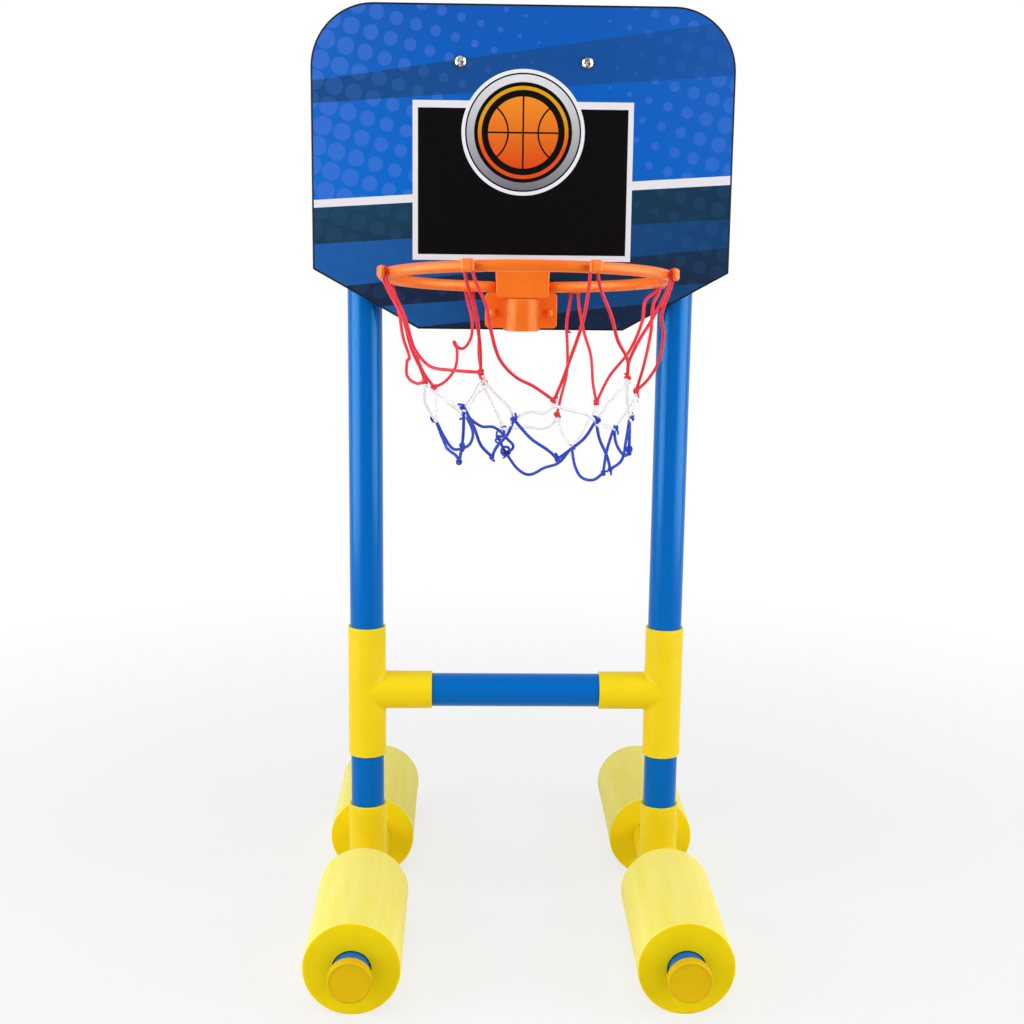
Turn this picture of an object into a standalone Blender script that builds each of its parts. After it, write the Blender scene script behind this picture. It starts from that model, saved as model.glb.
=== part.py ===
"""Floating basketball hoop: a push-fit pipe frame on foam floats, with a backboard, a plug-in rim and a net.

Metres, +Z up, +X to the right, and the hoop faces -Y. Everything is placed about the plane of the two
uprights. One empty carries it all and moves that plane, so that the whole part is centred over the origin.
"""

from math import cos, pi, radians, sin

import bmesh
import bpy
from mathutils import Matrix, Vector

MM = 0.001

# Clearances, cuts and facets
FIT = 0.3 * MM  # between pieces that touch, and around a pipe in its socket
OVERRUN = 2 * MM  # how far a cutter runs past the face it cuts, or a joined piece into its mate
MERGE = 0.01 * MM
PIPE_SIDES = 20
FLOAT_SIDES = 28
SCREW_SIDES = 12
ARC_STEPS = 4

# Pipe
PIPE_R = 12.5 * MM
PIPE_WALL = 2 * MM

# Fittings: the tee and the elbow share a wall and a socket
FITTING_WALL = 1.3 * MM
SOCKET_DEPTH = 22 * MM
RUN_HALF = 50 * MM  # middle of a tee to either end of its run
BRANCH_REACH = 49 * MM  # middle of a tee or an elbow to the end of a branch
ELBOW_BEND = 18 * MM

# Frame
SPREAD_HALF = 112 * MM  # each skid and upright from the middle
LOWER_RISER_SHOWS = 40 * MM
UPRIGHT_SHOWS = 359 * MM

# Floats and end caps
FLOAT_R = 33 * MM
FLOAT_LENGTH = 125 * MM
FLOAT_BORE_SLACK = 0.8 * MM  # the foam's bore is this much wider, all round, than the pipe
FLOAT_EDGE = 1.2 * MM
SKID_SHOWS = 12.7 * MM  # bare pipe between a float and its cap
CAP_DEPTH = 7 * MM
CAP_R = 15 * MM
CAP_FACE = 2.2 * MM
CAP_ROUND = 2 * MM

# Backboard
BOARD_HALF_W = 147.5 * MM
BOARD_H = 223 * MM
BOARD_T = 4 * MM
BOARD_OVER_RAIL = 38.5 * MM  # top edge above the rail's axis
BOARD_CORNER = 44 * MM
BOARD_CHAMFER_W = 74.5 * MM
BOARD_CHAMFER_H = 41.3 * MM

# Steel bolts that hold the board to the rail
BOLT_HALF_SPAN = 44 * MM
BOLT_R = 2 * MM
BOLT_HEAD_R = 4.2 * MM
BOLT_DOME = 2.4 * MM
BOLT_END = 1.2 * MM  # thread that shows past the nut
NUT_R = 4 * MM
NUT_T = 3.2 * MM

# Rim bracket, with the two rivets that hold it
BRACKET_RISE = 1.5 * MM  # its plate's lower edge above the board's lower edge
PLATE_HALF_W = 25.6 * MM
PLATE_H = 25 * MM
PLATE_T = 3 * MM
PLATE_CORNER = 3 * MM
SOCKET_STANDOFF = 17.8 * MM  # the plate's front to the socket's axis
SOCKET_R = 12.9 * MM
SOCKET_H = 22.7 * MM
NECK_HALF_W = 7 * MM
NECK_H = 19 * MM
RIVET_HALF_SPAN = 19.5 * MM
RIVET_RISE = 10.6 * MM  # above the plate's lower edge
RIVET_R = 1.5 * MM
RIVET_HEAD_R = 3.25 * MM
RIVET_DOME = 2 * MM
RIVET_TAIL_R = 2.8 * MM
RIVET_TAIL = 3 * MM

# Rim: a ring that rises to the front, a block at its back and a hollow peg under the block
RING_R = 91 * MM
RING_TUBE_R = 3.5 * MM
RING_SIDES = 10
RING_STEPS = 40
RING_TILT = radians(6.5)
RING_FORWARD = 0.9 * MM  # the ring's back centreline in front of the peg's axis
RING_RISE = 8.7 * MM  # the same line above the block's underside
RING_BEND = 5 * MM
RING_TAIL = 5 * MM
BLOCK_HALF_W = 18.7 * MM
BLOCK_TAPER = 0.7 * MM
BLOCK_D = 30 * MM
BLOCK_H = 19.5 * MM
BLOCK_CORNER = 3 * MM
PEG_R = 10.3 * MM
PEG_WALL = 2.3 * MM
PEG_LENGTH = 21 * MM
PEG_HOLLOW = 26 * MM
SINK = 1.4 * MM  # how deep the ring's tails sit in the block's sides

# Net hooks: a neck that stands out from the ring, and a flat head
HOOKS = 8
HOOK_NECK_R = 1.5 * MM
HOOK_GROOVE = 2.8 * MM
HOOK_HEAD_T = 2.8 * MM
HOOK_HEAD_W = 8.6 * MM
HOOK_HEAD_H = 7.7 * MM
HOOK_SIDES = 10

# Net: a cord of three colours, each colour knotted below the one before
CORD_R = 0.8 * MM
NET_DROP = 130 * MM
CORD_SIDES = 6
CORD_STEP = 6.5 * MM  # between the rings of a strand
RED_KNOT_R = 2.1 * MM
WHITE_KNOT_R = 1.9 * MM
BLUE_KNOT_R = 1.9 * MM
NECK_LOOP_STEPS = 4
STRAND_FALLS = 5 * MM  # how far a strand drops from its hook before it turns inwards
STRAND_IN = 0.5 * MM

# Worked out from the sizes above
SOCKET_BORE_R = PIPE_R + FIT
FITTING_R = SOCKET_BORE_R + FITTING_WALL
BORE_R = PIPE_R - PIPE_WALL
RUN_STOP = RUN_HALF - SOCKET_DEPTH
BRANCH_STOP = BRANCH_REACH - SOCKET_DEPTH
SKID_Z = FLOAT_R
MID_TEE_Z = SKID_Z + BRANCH_REACH + LOWER_RISER_SHOWS + RUN_HALF
RAIL_Z = MID_TEE_Z + RUN_HALF + UPRIGHT_SHOWS + BRANCH_REACH
FLOAT_START = RUN_HALF + FIT
CAP_START = FLOAT_START + FLOAT_LENGTH + SKID_SHOWS
SKID_REACH = CAP_START + CAP_DEPTH
SKID_PIPE_END = SKID_REACH - CAP_FACE - FIT
BOARD_BACK_Y = -(FITTING_R + FIT)
BOARD_FRONT_Y = BOARD_BACK_Y - BOARD_T
BOARD_TOP_Z = RAIL_Z + BOARD_OVER_RAIL
BOARD_BOTTOM_Z = BOARD_TOP_Z - BOARD_H
PLATE_BOTTOM_Z = BOARD_BOTTOM_Z + BRACKET_RISE
PLATE_BACK_Y = BOARD_FRONT_Y - FIT
PLATE_FRONT_Y = PLATE_BACK_Y - PLATE_T
PEG_Y = PLATE_FRONT_Y - SOCKET_STANDOFF
BLOCK_BOTTOM_Z = PLATE_BOTTOM_Z + SOCKET_H + FIT
RING_BACK_Y = PEG_Y - RING_FORWARD
RING_BACK_Z = BLOCK_BOTTOM_Z + RING_RISE
RING_Y = RING_BACK_Y - RING_R * cos(RING_TILT)
RING_Z = RING_BACK_Z + RING_R * sin(RING_TILT)
FRONT_REACH = -RING_Y + RING_R * cos(RING_TILT) + RING_TUBE_R
FRAME_Y = (FRONT_REACH - SKID_REACH) / 2

SIDES = {"left": -1, "right": 1}
ENDS = {"front": -1, "rear": 1}

for old in list(bpy.data.objects):
    bpy.data.objects.remove(old)


def new_collection(name):
    made = bpy.data.collections.new(name)
    bpy.context.scene.collection.children.link(made)
    return made


PARTS = new_collection("floating_basketball_hoop")
CUTTERS = new_collection("cutters")

ROOT = bpy.data.objects.new("hoop_frame_plane", None)
ROOT.location = (0, FRAME_Y, 0)
PARTS.objects.link(ROOT)


def linear(code):
    """A hex colour as linear red, green and blue."""
    shares = [int(code[i : i + 2], 16) / 255 for i in (1, 3, 5)]
    return [c / 12.92 if c <= 0.04045 else ((c + 0.055) / 1.055) ** 2.4 for c in shares]


def material(name, code, roughness, metallic=0.0):
    look = bpy.data.materials.new(name)
    look.use_nodes = True
    shader = look.node_tree.nodes["Principled BSDF"]
    shader.inputs["Base Color"].default_value = (*linear(code), 1)
    shader.inputs["Roughness"].default_value = roughness
    shader.inputs["Metallic"].default_value = metallic
    return look


BLUE_PIPE = material("blue_pvc_pipe", "#0A6FD0", 0.35)
YELLOW_FITTING = material("yellow_pvc_fitting", "#F8E12A", 0.4)
YELLOW_CAP = material("yellow_moulded_cap", "#F3E02C", 0.45)
YELLOW_FOAM = material("yellow_foam", "#F7F04A", 0.9)
BOARD_PRINT = material("printed_board", "#1C4FB4", 0.3)
BRIGHT_STEEL = material("bright_steel", "#C8CACC", 0.25, 1.0)
ORANGE_PLASTIC = material("orange_moulded_plastic", "#F5752A", 0.4)


def add(name, mesh, look=None, where=PARTS, at=(0, 0, 0), turn=(0, 0, 0)):
    obj = bpy.data.objects.new(name, mesh)
    where.objects.link(obj)
    obj.parent = ROOT
    obj.location = at
    obj.rotation_euler = turn
    if look:
        mesh.materials.clear()
        mesh.materials.append(look)
    if where is CUTTERS:
        obj.hide_render = True
        obj.display_type = "WIRE"
    return obj


def mesh_from(form, name):
    mesh = bpy.data.meshes.new(name)
    form.to_mesh(mesh)
    form.free()
    mesh.shade_smooth()
    mesh.set_sharp_from_angle(angle=radians(30))
    return mesh


def turned(name, profile, sides, look=None, closed=False, where=PARTS, at=(0, 0, 0), turn=(0, 0, 0)):
    """A profile of (radius, height) turned about local Z, its outer side written from top to bottom."""
    form = bmesh.new()
    points = [form.verts.new((radius, 0, height)) for radius, height in profile]
    for a, b in zip(points, points[1:]):
        form.edges.new((a, b))
    if closed:
        form.edges.new((points[-1], points[0]))
    mesh = bpy.data.meshes.new(name)
    form.to_mesh(mesh)
    form.free()
    obj = add(name, mesh, look, where, at, turn)
    screw = obj.modifiers.new("turn", "SCREW")
    screw.steps = screw.render_steps = sides
    screw.use_merge_vertices = True
    screw.merge_threshold = MERGE
    screw.use_smooth_shade = True
    return obj


def cylinder(name, radius, bottom, top, sides, look=None, where=CUTTERS, at=(0, 0, 0), turn=(0, 0, 0)):
    """A solid cylinder about local Z between two heights."""
    form = bmesh.new()
    middle = Matrix.Translation((0, 0, (bottom + top) / 2))
    bmesh.ops.create_cone(
        form, cap_ends=True, segments=sides, radius1=radius, radius2=radius, depth=top - bottom, matrix=middle
    )
    return add(name, mesh_from(form, name), look, where, at, turn)


def box(name, size, at=(0, 0, 0), look=None, where=CUTTERS):
    form = bmesh.new()
    bmesh.ops.create_cube(form, size=1, matrix=Matrix.Diagonal((*size, 1)))
    return add(name, mesh_from(form, name), look, where, at)


def meshed(curve, name, look=None, where=PARTS, at=(0, 0, 0), turn=(0, 0, 0)):
    """The curve's solid as a mesh object, with its loose caps welded on."""
    holder = bpy.data.objects.new(name + "_curve", curve)
    CUTTERS.objects.link(holder)
    bpy.context.view_layer.update()
    graph = bpy.context.evaluated_depsgraph_get()
    raw = bpy.data.meshes.new_from_object(holder.evaluated_get(graph))
    bpy.data.objects.remove(holder)
    form = bmesh.new()
    form.from_mesh(raw)
    bmesh.ops.remove_doubles(form, verts=form.verts, dist=MERGE)
    bmesh.ops.recalc_face_normals(form, faces=form.faces)
    bpy.data.meshes.remove(raw)
    return add(name, mesh_from(form, name), look, where, at, turn)


def rod(name, points, radius, sides, look=None, where=CUTTERS, at=(0, 0, 0), turn=(0, 0, 0)):
    """A round bar along the points. A bevel of resolution n has 4 + 2n sides."""
    curve = bpy.data.curves.new(name, "CURVE")
    curve.dimensions = "3D"
    curve.bevel_depth = radius
    curve.bevel_resolution = (sides - 4) // 2
    curve.use_fill_caps = True
    spline = curve.splines.new("POLY")
    spline.points.add(len(points) - 1)
    for point, place in zip(spline.points, points):
        point.co = (*place, 1)
    return meshed(curve, name, look, where, at, turn)


def slab(name, outline, thickness, look=None, where=PARTS, at=(0, 0, 0)):
    """A flat outline of (x, z) points, standing up across Y and as thick as it says about its place."""
    curve = bpy.data.curves.new(name, "CURVE")
    curve.dimensions = "2D"
    curve.fill_mode = "BOTH"
    curve.extrude = thickness / 2
    spline = curve.splines.new("POLY")
    spline.use_cyclic_u = True
    spline.points.add(len(outline) - 1)
    for point, (x, z) in zip(spline.points, outline):
        point.co = (x, z, 0, 1)
    return meshed(curve, name, look, where, at, (pi / 2, 0, 0))


def combine(obj, other, operation):
    boolean = obj.modifiers.new(operation.lower() + "_" + other.name, "BOOLEAN")
    boolean.operation = operation
    boolean.solver = "EXACT"
    boolean.object = other


def cut(obj, *cutters):
    for cutter in cutters:
        combine(obj, cutter, "DIFFERENCE")


def join(obj, *others):
    for other in others:
        combine(obj, other, "UNION")


def baked(obj):
    """The object's finished mesh, so that copies of the piece can share it."""
    bpy.context.view_layer.update()
    graph = bpy.context.evaluated_depsgraph_get()
    mesh = bpy.data.meshes.new_from_object(obj.evaluated_get(graph))
    bpy.data.objects.remove(obj)
    mesh.shade_smooth()
    mesh.set_sharp_from_angle(angle=radians(30))
    return mesh


def arc(centre, radius, start, end, steps=ARC_STEPS):
    """Points of an arc in a plane, its angles in radians from the first axis to the second."""
    return [
        (centre[0] + radius * cos(a), centre[1] + radius * sin(a))
        for a in (start + (end - start) * i / steps for i in range(steps + 1))
    ]


def along(direction):
    """The turn that points local Z along a direction in the XZ or YZ plane."""
    return Vector(direction).to_track_quat("Z", "Y").to_euler()


def pipe(name, start, end, at, direction):
    """A cut length of pipe that starts and ends at these distances from a place, along a direction."""
    profile = [(PIPE_R, end), (PIPE_R, start), (BORE_R, start), (BORE_R, end)]
    return turned(name, profile, PIPE_SIDES, BLUE_PIPE, True, at=at, turn=along(direction))


def socket_profile(reach, stop):
    """Half of a fitting's inside, from its mouth down to its middle."""
    mouth = reach + OVERRUN
    return [(0, mouth), (SOCKET_BORE_R, mouth), (SOCKET_BORE_R, stop), (BORE_R, stop)]


# Tee: its run lies along local Y and its branch along local Z
def tee_mesh():
    lying = (pi / 2, 0, 0)
    half_step = (0, 0, pi / PIPE_SIDES)
    tee = cylinder("tee", FITTING_R, -RUN_HALF, RUN_HALF, PIPE_SIDES, where=CUTTERS, turn=lying)
    branch = cylinder("tee_branch", FITTING_R, 0, BRANCH_REACH, PIPE_SIDES, turn=half_step)
    half = socket_profile(RUN_HALF, RUN_STOP)
    run_profile = half + [(radius, -height) for radius, height in reversed(half)]
    run_bore = turned("tee_run_bore", run_profile, PIPE_SIDES, where=CUTTERS, turn=lying)
    branch_profile = socket_profile(BRANCH_REACH, BRANCH_STOP) + [(BORE_R, 0), (0, 0)]
    branch_bore = turned("tee_branch_bore", branch_profile, PIPE_SIDES, where=CUTTERS, turn=half_step)
    join(tee, branch)
    cut(tee, run_bore, branch_bore)
    # The baked mesh is upright again, because the prototype lay on its side
    mesh = baked(tee)
    mesh.transform(Matrix.Rotation(pi / 2, 4, "X"))
    for helper in (branch, run_bore, branch_bore):
        bpy.data.objects.remove(helper)
    return mesh


# Elbow: one leg down, one leg along local X
def elbow_mesh():
    def path(reach):
        bend = arc((ELBOW_BEND, -ELBOW_BEND), ELBOW_BEND, pi, pi / 2)
        return [(0, 0, -reach)] + [(x, 0, z) for x, z in bend] + [(reach, 0, 0)]

    elbow = rod("elbow", path(BRANCH_REACH), FITTING_R, PIPE_SIDES)
    bore = rod("elbow_bore", path(BRANCH_REACH + OVERRUN), BORE_R, PIPE_SIDES)
    mouth = BRANCH_REACH + OVERRUN
    down = cylinder("elbow_socket_down", SOCKET_BORE_R, BRANCH_STOP, mouth, PIPE_SIDES, turn=(pi, 0, 0))
    across = cylinder("elbow_socket_across", SOCKET_BORE_R, BRANCH_STOP, mouth, PIPE_SIDES, turn=(0, pi / 2, 0))
    cut(elbow, bore, down, across)
    mesh = baked(elbow)
    for helper in (bore, down, across):
        bpy.data.objects.remove(helper)
    return mesh


TEE = tee_mesh()
TEE.materials.clear()
TEE.materials.append(YELLOW_FITTING)
ELBOW = elbow_mesh()
ELBOW.materials.clear()
ELBOW.materials.append(YELLOW_FITTING)

# Skids: on each side a base tee, and front and rear a pipe, a float and a cap
for side, sign in SIDES.items():
    x = sign * SPREAD_HALF
    add(f"base_tee_{side}", TEE, at=(x, 0, SKID_Z))
    for end, way in ENDS.items():
        out = (0, way, 0)
        here = (x, 0, SKID_Z)
        pipe(f"skid_pipe_{end}_{side}", RUN_STOP + FIT, SKID_PIPE_END, here, out)
        bore = PIPE_R + FLOAT_BORE_SLACK
        far = FLOAT_START + FLOAT_LENGTH
        foam = [
            (FLOAT_R - FLOAT_EDGE, far),
            (FLOAT_R, far - FLOAT_EDGE),
            (FLOAT_R, FLOAT_START + FLOAT_EDGE),
            (FLOAT_R - FLOAT_EDGE, FLOAT_START),
            (bore, FLOAT_START),
            (bore, far),
        ]
        turned(f"float_{end}_{side}", foam, FLOAT_SIDES, YELLOW_FOAM, True, at=here, turn=along(out))
        cap = [
            (0, SKID_REACH),
            (CAP_R - CAP_ROUND, SKID_REACH),
            (CAP_R, SKID_REACH - CAP_ROUND),
            (CAP_R, CAP_START),
            (SOCKET_BORE_R, CAP_START),
            (SOCKET_BORE_R, SKID_REACH - CAP_FACE),
            (0, SKID_REACH - CAP_FACE),
        ]
        turned(f"end_cap_{end}_{side}", cap, PIPE_SIDES, YELLOW_CAP, at=here, turn=along(out))

# Uprights and the pieces that join them
for side, sign in SIDES.items():
    x = sign * SPREAD_HALF
    riser_start = BRANCH_STOP + FIT
    riser_end = MID_TEE_Z - SKID_Z - RUN_STOP - FIT
    pipe(f"lower_riser_{side}", riser_start, riser_end, (x, 0, SKID_Z), (0, 0, 1))
    # A middle tee stands up and its branch points inwards
    stood = Matrix(((0, 0, -sign), (-sign, 0, 0), (0, 1, 0))).to_euler()
    add(f"mid_tee_{side}", TEE, at=(x, 0, MID_TEE_Z), turn=stood)
    upright_end = RAIL_Z - MID_TEE_Z - BRANCH_STOP - FIT
    pipe(f"upright_{side}", RUN_STOP + FIT, upright_end, (x, 0, MID_TEE_Z), (0, 0, 1))
    inward = (0, 0, 0) if sign < 0 else (0, 0, pi)
    add(f"top_elbow_{side}", ELBOW, at=(x, 0, RAIL_Z), turn=inward)

cross_half = SPREAD_HALF - BRANCH_STOP - FIT
pipe("crossbar", -cross_half, cross_half, (0, 0, MID_TEE_Z), (1, 0, 0))
rail = pipe("top_rail", -cross_half, cross_half, (0, 0, RAIL_Z), (1, 0, 0))

# Backboard
w, chamfer = BOARD_HALF_W, BOARD_HALF_W - BOARD_CHAMFER_W
shoulder = BOARD_BOTTOM_Z + BOARD_CHAMFER_H
corner_z = BOARD_TOP_Z - BOARD_CORNER
outline = [(-chamfer, BOARD_BOTTOM_Z), (chamfer, BOARD_BOTTOM_Z), (w, shoulder)]
outline += arc((w - BOARD_CORNER, corner_z), BOARD_CORNER, 0, pi / 2, 2 * ARC_STEPS)
outline += arc((BOARD_CORNER - w, corner_z), BOARD_CORNER, pi / 2, pi, 2 * ARC_STEPS)
outline += [(-w, shoulder)]
board = slab("backboard", outline, BOARD_T, BOARD_PRINT, at=(0, (BOARD_BACK_Y + BOARD_FRONT_Y) / 2, 0))

# Bolts run back through the board and the rail to a nut behind it
forward = along((0, -1, 0))
bolt_seat = -BOARD_FRONT_Y + FIT
nut_start = PIPE_R + FIT
bolt_end = nut_start + NUT_T + BOLT_END
for side, sign in SIDES.items():
    here = (sign * BOLT_HALF_SPAN, 0, RAIL_Z)
    dome = arc((0, bolt_seat), 1, pi / 2, 0)
    shape = [(r * BOLT_HEAD_R, bolt_seat + (z - bolt_seat) * BOLT_DOME) for r, z in dome]
    shape += [(BOLT_R, bolt_seat), (BOLT_R, -bolt_end), (0, -bolt_end)]
    turned(f"board_bolt_{side}", shape, SCREW_SIDES, BRIGHT_STEEL, at=here, turn=forward)
    # One hole runs through the board, the rail and the nut
    hole = cylinder(
        f"bolt_hole_{side}", BOLT_R + FIT, -bolt_end - OVERRUN, bolt_seat + OVERRUN, SCREW_SIDES, at=here, turn=forward
    )
    nut = cylinder(
        f"board_nut_{side}", NUT_R, -nut_start - NUT_T, -nut_start, 6, BRIGHT_STEEL, PARTS, here, forward
    )
    for drilled in (rail, board, nut):
        cut(drilled, hole)

# Rim bracket: plate, upright socket and the neck between them
w, top_z = PLATE_HALF_W, PLATE_BOTTOM_Z + PLATE_H
low, high = PLATE_BOTTOM_Z + PLATE_CORNER, top_z - PLATE_CORNER
outline = arc((PLATE_CORNER - w, low), PLATE_CORNER, pi, 3 * pi / 2)
outline += arc((w - PLATE_CORNER, low), PLATE_CORNER, 3 * pi / 2, 2 * pi)
outline += arc((w - PLATE_CORNER, high), PLATE_CORNER, 0, pi / 2)
outline += arc((PLATE_CORNER - w, high), PLATE_CORNER, pi / 2, pi)
bracket = slab(
    "rim_bracket", outline, PLATE_T, ORANGE_PLASTIC, at=(0, (PLATE_BACK_Y + PLATE_FRONT_Y) / 2, 0)
)
peg_axis = (0, PEG_Y, PLATE_BOTTOM_Z)
socket = cylinder("bracket_socket", SOCKET_R, 0, SOCKET_H, PIPE_SIDES, at=peg_axis)
neck_depth = SOCKET_STANDOFF + PLATE_T / 2
neck = box(
    "bracket_neck",
    (2 * NECK_HALF_W, neck_depth, NECK_H),
    (0, PEG_Y + neck_depth / 2, PLATE_BOTTOM_Z + OVERRUN / 2 + NECK_H / 2),
)
join(bracket, neck, socket)
peg_bore = cylinder("bracket_bore", PEG_R + FIT, -OVERRUN, SOCKET_H + OVERRUN, PIPE_SIDES, at=peg_axis)
cut(bracket, peg_bore)

# Rivets through the bracket's plate and the board, each with a swelled tail behind the board
rivet_seat = -PLATE_FRONT_Y + FIT
tail_seat = -BOARD_BACK_Y - FIT
for side, sign in SIDES.items():
    here = (sign * RIVET_HALF_SPAN, 0, PLATE_BOTTOM_Z + RIVET_RISE)
    dome = arc((0, 0), 1, pi / 2, 0)
    shape = [(r * RIVET_HEAD_R, rivet_seat + z * RIVET_DOME) for r, z in dome]
    shape += [(RIVET_R, rivet_seat), (RIVET_R, tail_seat), (RIVET_TAIL_R, tail_seat)]
    shape += [(RIVET_R, tail_seat - RIVET_TAIL), (0, tail_seat - RIVET_TAIL)]
    turned(f"bracket_rivet_{side}", shape, SCREW_SIDES, ORANGE_PLASTIC, at=here, turn=forward)
    hole = cylinder(
        f"rivet_hole_{side}", RIVET_R + FIT, tail_seat - OVERRUN, rivet_seat + OVERRUN, SCREW_SIDES, at=here, turn=forward
    )
    cut(bracket, hole)
    cut(board, hole)

# Rim: the block, on the peg's axis
w = BLOCK_HALF_W
outline = [(w, BLOCK_H), (-w, BLOCK_H)]
narrow = w - BLOCK_TAPER - BLOCK_CORNER
outline += arc((-narrow, BLOCK_CORNER), BLOCK_CORNER, pi, 3 * pi / 2)
outline += arc((narrow, BLOCK_CORNER), BLOCK_CORNER, 3 * pi / 2, 2 * pi)
block_back = PLATE_FRONT_Y - FIT
rim = slab("rim", outline, BLOCK_D, ORANGE_PLASTIC, at=(0, block_back - BLOCK_D / 2, BLOCK_BOTTOM_Z))

# The ring lies in its own plane, front towards -Y, and both ends turn back beside the block
tail_x = w - SINK + RING_TUBE_R
turn_in = tail_x + RING_BEND
half_gap = pi - turn_in / RING_R
path = [(RING_R * sin(a), -RING_R * cos(a)) for a in (half_gap * (2 * i / RING_STEPS - 1) for i in range(RING_STEPS + 1))]
bend_y = RING_R * cos(turn_in / RING_R) + RING_BEND
turn_back = arc((turn_in, bend_y), RING_BEND, 3 * pi / 2, pi)[1:]
turn_back += [(tail_x, bend_y + RING_TAIL)]
path = [(-x, y) for x, y in reversed(turn_back)] + path + turn_back
ring_place, ring_turn = (0, RING_Y, RING_Z), (-RING_TILT, 0, 0)
ring = rod("rim_ring", [(x, y, 0) for x, y in path], RING_TUBE_R, RING_SIDES, at=ring_place, turn=ring_turn)

# Each hook stands out from the ring's centreline
head_in = RING_TUBE_R + HOOK_GROOVE
head_out = head_in + HOOK_HEAD_T
hooks = None
for i in range(HOOKS):
    angle = 2 * pi * (i + 1 / 2) / HOOKS
    place = Matrix.Translation(ring_place) @ Matrix.Rotation(-RING_TILT, 4, "X") @ Matrix.Rotation(angle, 4, "Z")
    place = place @ Matrix.Translation((0, -RING_R, 0)) @ Matrix.Rotation(pi / 2, 4, "X")
    neck = cylinder(f"hook_neck_{i + 1}", HOOK_NECK_R, 0, head_out - HOOK_HEAD_T / 2, HOOK_SIDES)
    neck.matrix_basis = place
    head = box(f"hook_head_{i + 1}", (HOOK_HEAD_W, HOOK_HEAD_H, HOOK_HEAD_T))
    head.matrix_basis = place @ Matrix.Translation((0, 0, (head_in + head_out) / 2))
    edge = head.modifiers.new("edge", "BEVEL")
    edge.width = HOOK_HEAD_T / 3
    edge.segments = 1
    join(ring, neck, head)

peg = cylinder("rim_peg", PEG_R, -PEG_LENGTH, OVERRUN, PIPE_SIDES, at=(0, PEG_Y, BLOCK_BOTTOM_Z))
hollow = cylinder(
    "rim_peg_hollow", PEG_R - PEG_WALL, -PEG_LENGTH - OVERRUN, PEG_HOLLOW - PEG_LENGTH - OVERRUN, PIPE_SIDES,
    at=(0, PEG_Y, BLOCK_BOTTOM_Z),
)
join(rim, ring, peg)
cut(rim, hollow)

# Net places are (degrees from the front towards the right, share of the ring's radius, share of the drop),
# about the upright axis through the ring's middle. The knots were placed by eye, as they hang.
RED_KNOT_SHARES = {
    "A": (-66, 0.77, 0.50), "B": (-116, 0.73, 0.58), "C": (-23, 0.82, 0.42), "D": (13, 0.75, 0.55),
    "E": (156, 0.64, 0.74), "F": (128, 0.69, 0.66), "G": (61, 0.79, 0.47), "H": (88, 0.79, 0.56),
    "I": (-157, 0.73, 0.58),
}
WHITE_KNOT_SHARES = {
    "AB": (-100, 0.65, 0.73), "AC": (-37, 0.72, 0.60), "BI": (-139, 0.65, 0.74), "CD": (-8, 0.69, 0.65),
    "IE": (-167, 0.60, 0.82), "EF": (139, 0.56, 0.90), "DG": (44, 0.68, 0.67), "HF": (96, 0.65, 0.76),
    "GH": (80, 0.75, 0.69),
}
BLUE_KNOT_SHARES = {
    "BI-AB": (-127, 0.56, 0.90), "AB-AC": (-56, 0.56, 0.89), "AC-CD": (-24, 0.59, 0.84),
    "CD-DG": (21, 0.58, 0.85), "DG-GH": (74, 0.63, 0.94), "GH-HF": (86, 0.75, 0.87),
    "HF-EF": (90, 0.57, 0.98), "EF-IE": (-167, 0.54, 0.94), "IE-BI": (-162, 0.58, 0.86),
}
# From knot to knot over a hook, with the hook's number counted from the front towards the right
RED_STRANDS_SHARES = [
    ("C", [(-22, 0.88, 0.28), (-22, 0.97, 0.13)], 8,
     [(-17, 0.98, 0.11), (-16, 0.92, 0.23), (-13, 0.85, 0.36), (-6, 0.80, 0.44), (2, 0.78, 0.48)], "D"),
    ("D", [(16, 0.79, 0.46), (18, 0.85, 0.36), (21, 0.96, 0.16)], 1,
     [(34, 0.96, 0.16), (41, 0.90, 0.27), (54, 0.84, 0.38)], "G"),
    ("G", [(56, 0.83, 0.39), (57, 0.89, 0.29), (63, 0.95, 0.18)], 2,
     [(70, 0.98, 0.16), (80, 0.97, 0.28), (84, 0.94, 0.41), (86, 0.87, 0.50)], "H"),
    ("H", [(88, 0.84, 0.43), (96, 0.90, 0.28), (105, 0.96, 0.14)], 3,
     [(114, 0.97, 0.13), (111, 0.92, 0.23), (113, 0.84, 0.38), (124, 0.76, 0.53)], "F"),
    ("F", [(135, 0.74, 0.57), (141, 0.81, 0.43), (148, 0.87, 0.31)], 4,
     [(158, 0.90, 0.28), (156, 0.84, 0.40), (154, 0.77, 0.52), (155, 0.70, 0.64)], "E"),
    ("I", [(-156, 0.80, 0.46), (-158, 0.88, 0.31)], 5,
     [(-155, 0.90, 0.27), (-152, 0.84, 0.36), (-147, 0.83, 0.40), (-143, 0.84, 0.38), (-142, 0.81, 0.43),
      (-139, 0.77, 0.50), (-129, 0.74, 0.56)], "B"),
    ("B", [(-109, 0.78, 0.49), (-109, 0.86, 0.35), (-110, 0.92, 0.23)], 6,
     [(-106, 0.95, 0.18), (-101, 0.89, 0.32), (-99, 0.84, 0.41), (-88, 0.84, 0.43), (-86, 0.84, 0.49),
      (-78, 0.79, 0.52)], "A"),
    ("A", [(-65, 0.80, 0.45), (-66, 0.87, 0.34), (-65, 0.94, 0.19)], 7,
     [(-63, 0.94, 0.20), (-62, 0.87, 0.34), (-54, 0.83, 0.41), (-40, 0.82, 0.42), (-30, 0.82, 0.42)], "C"),
]
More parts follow.
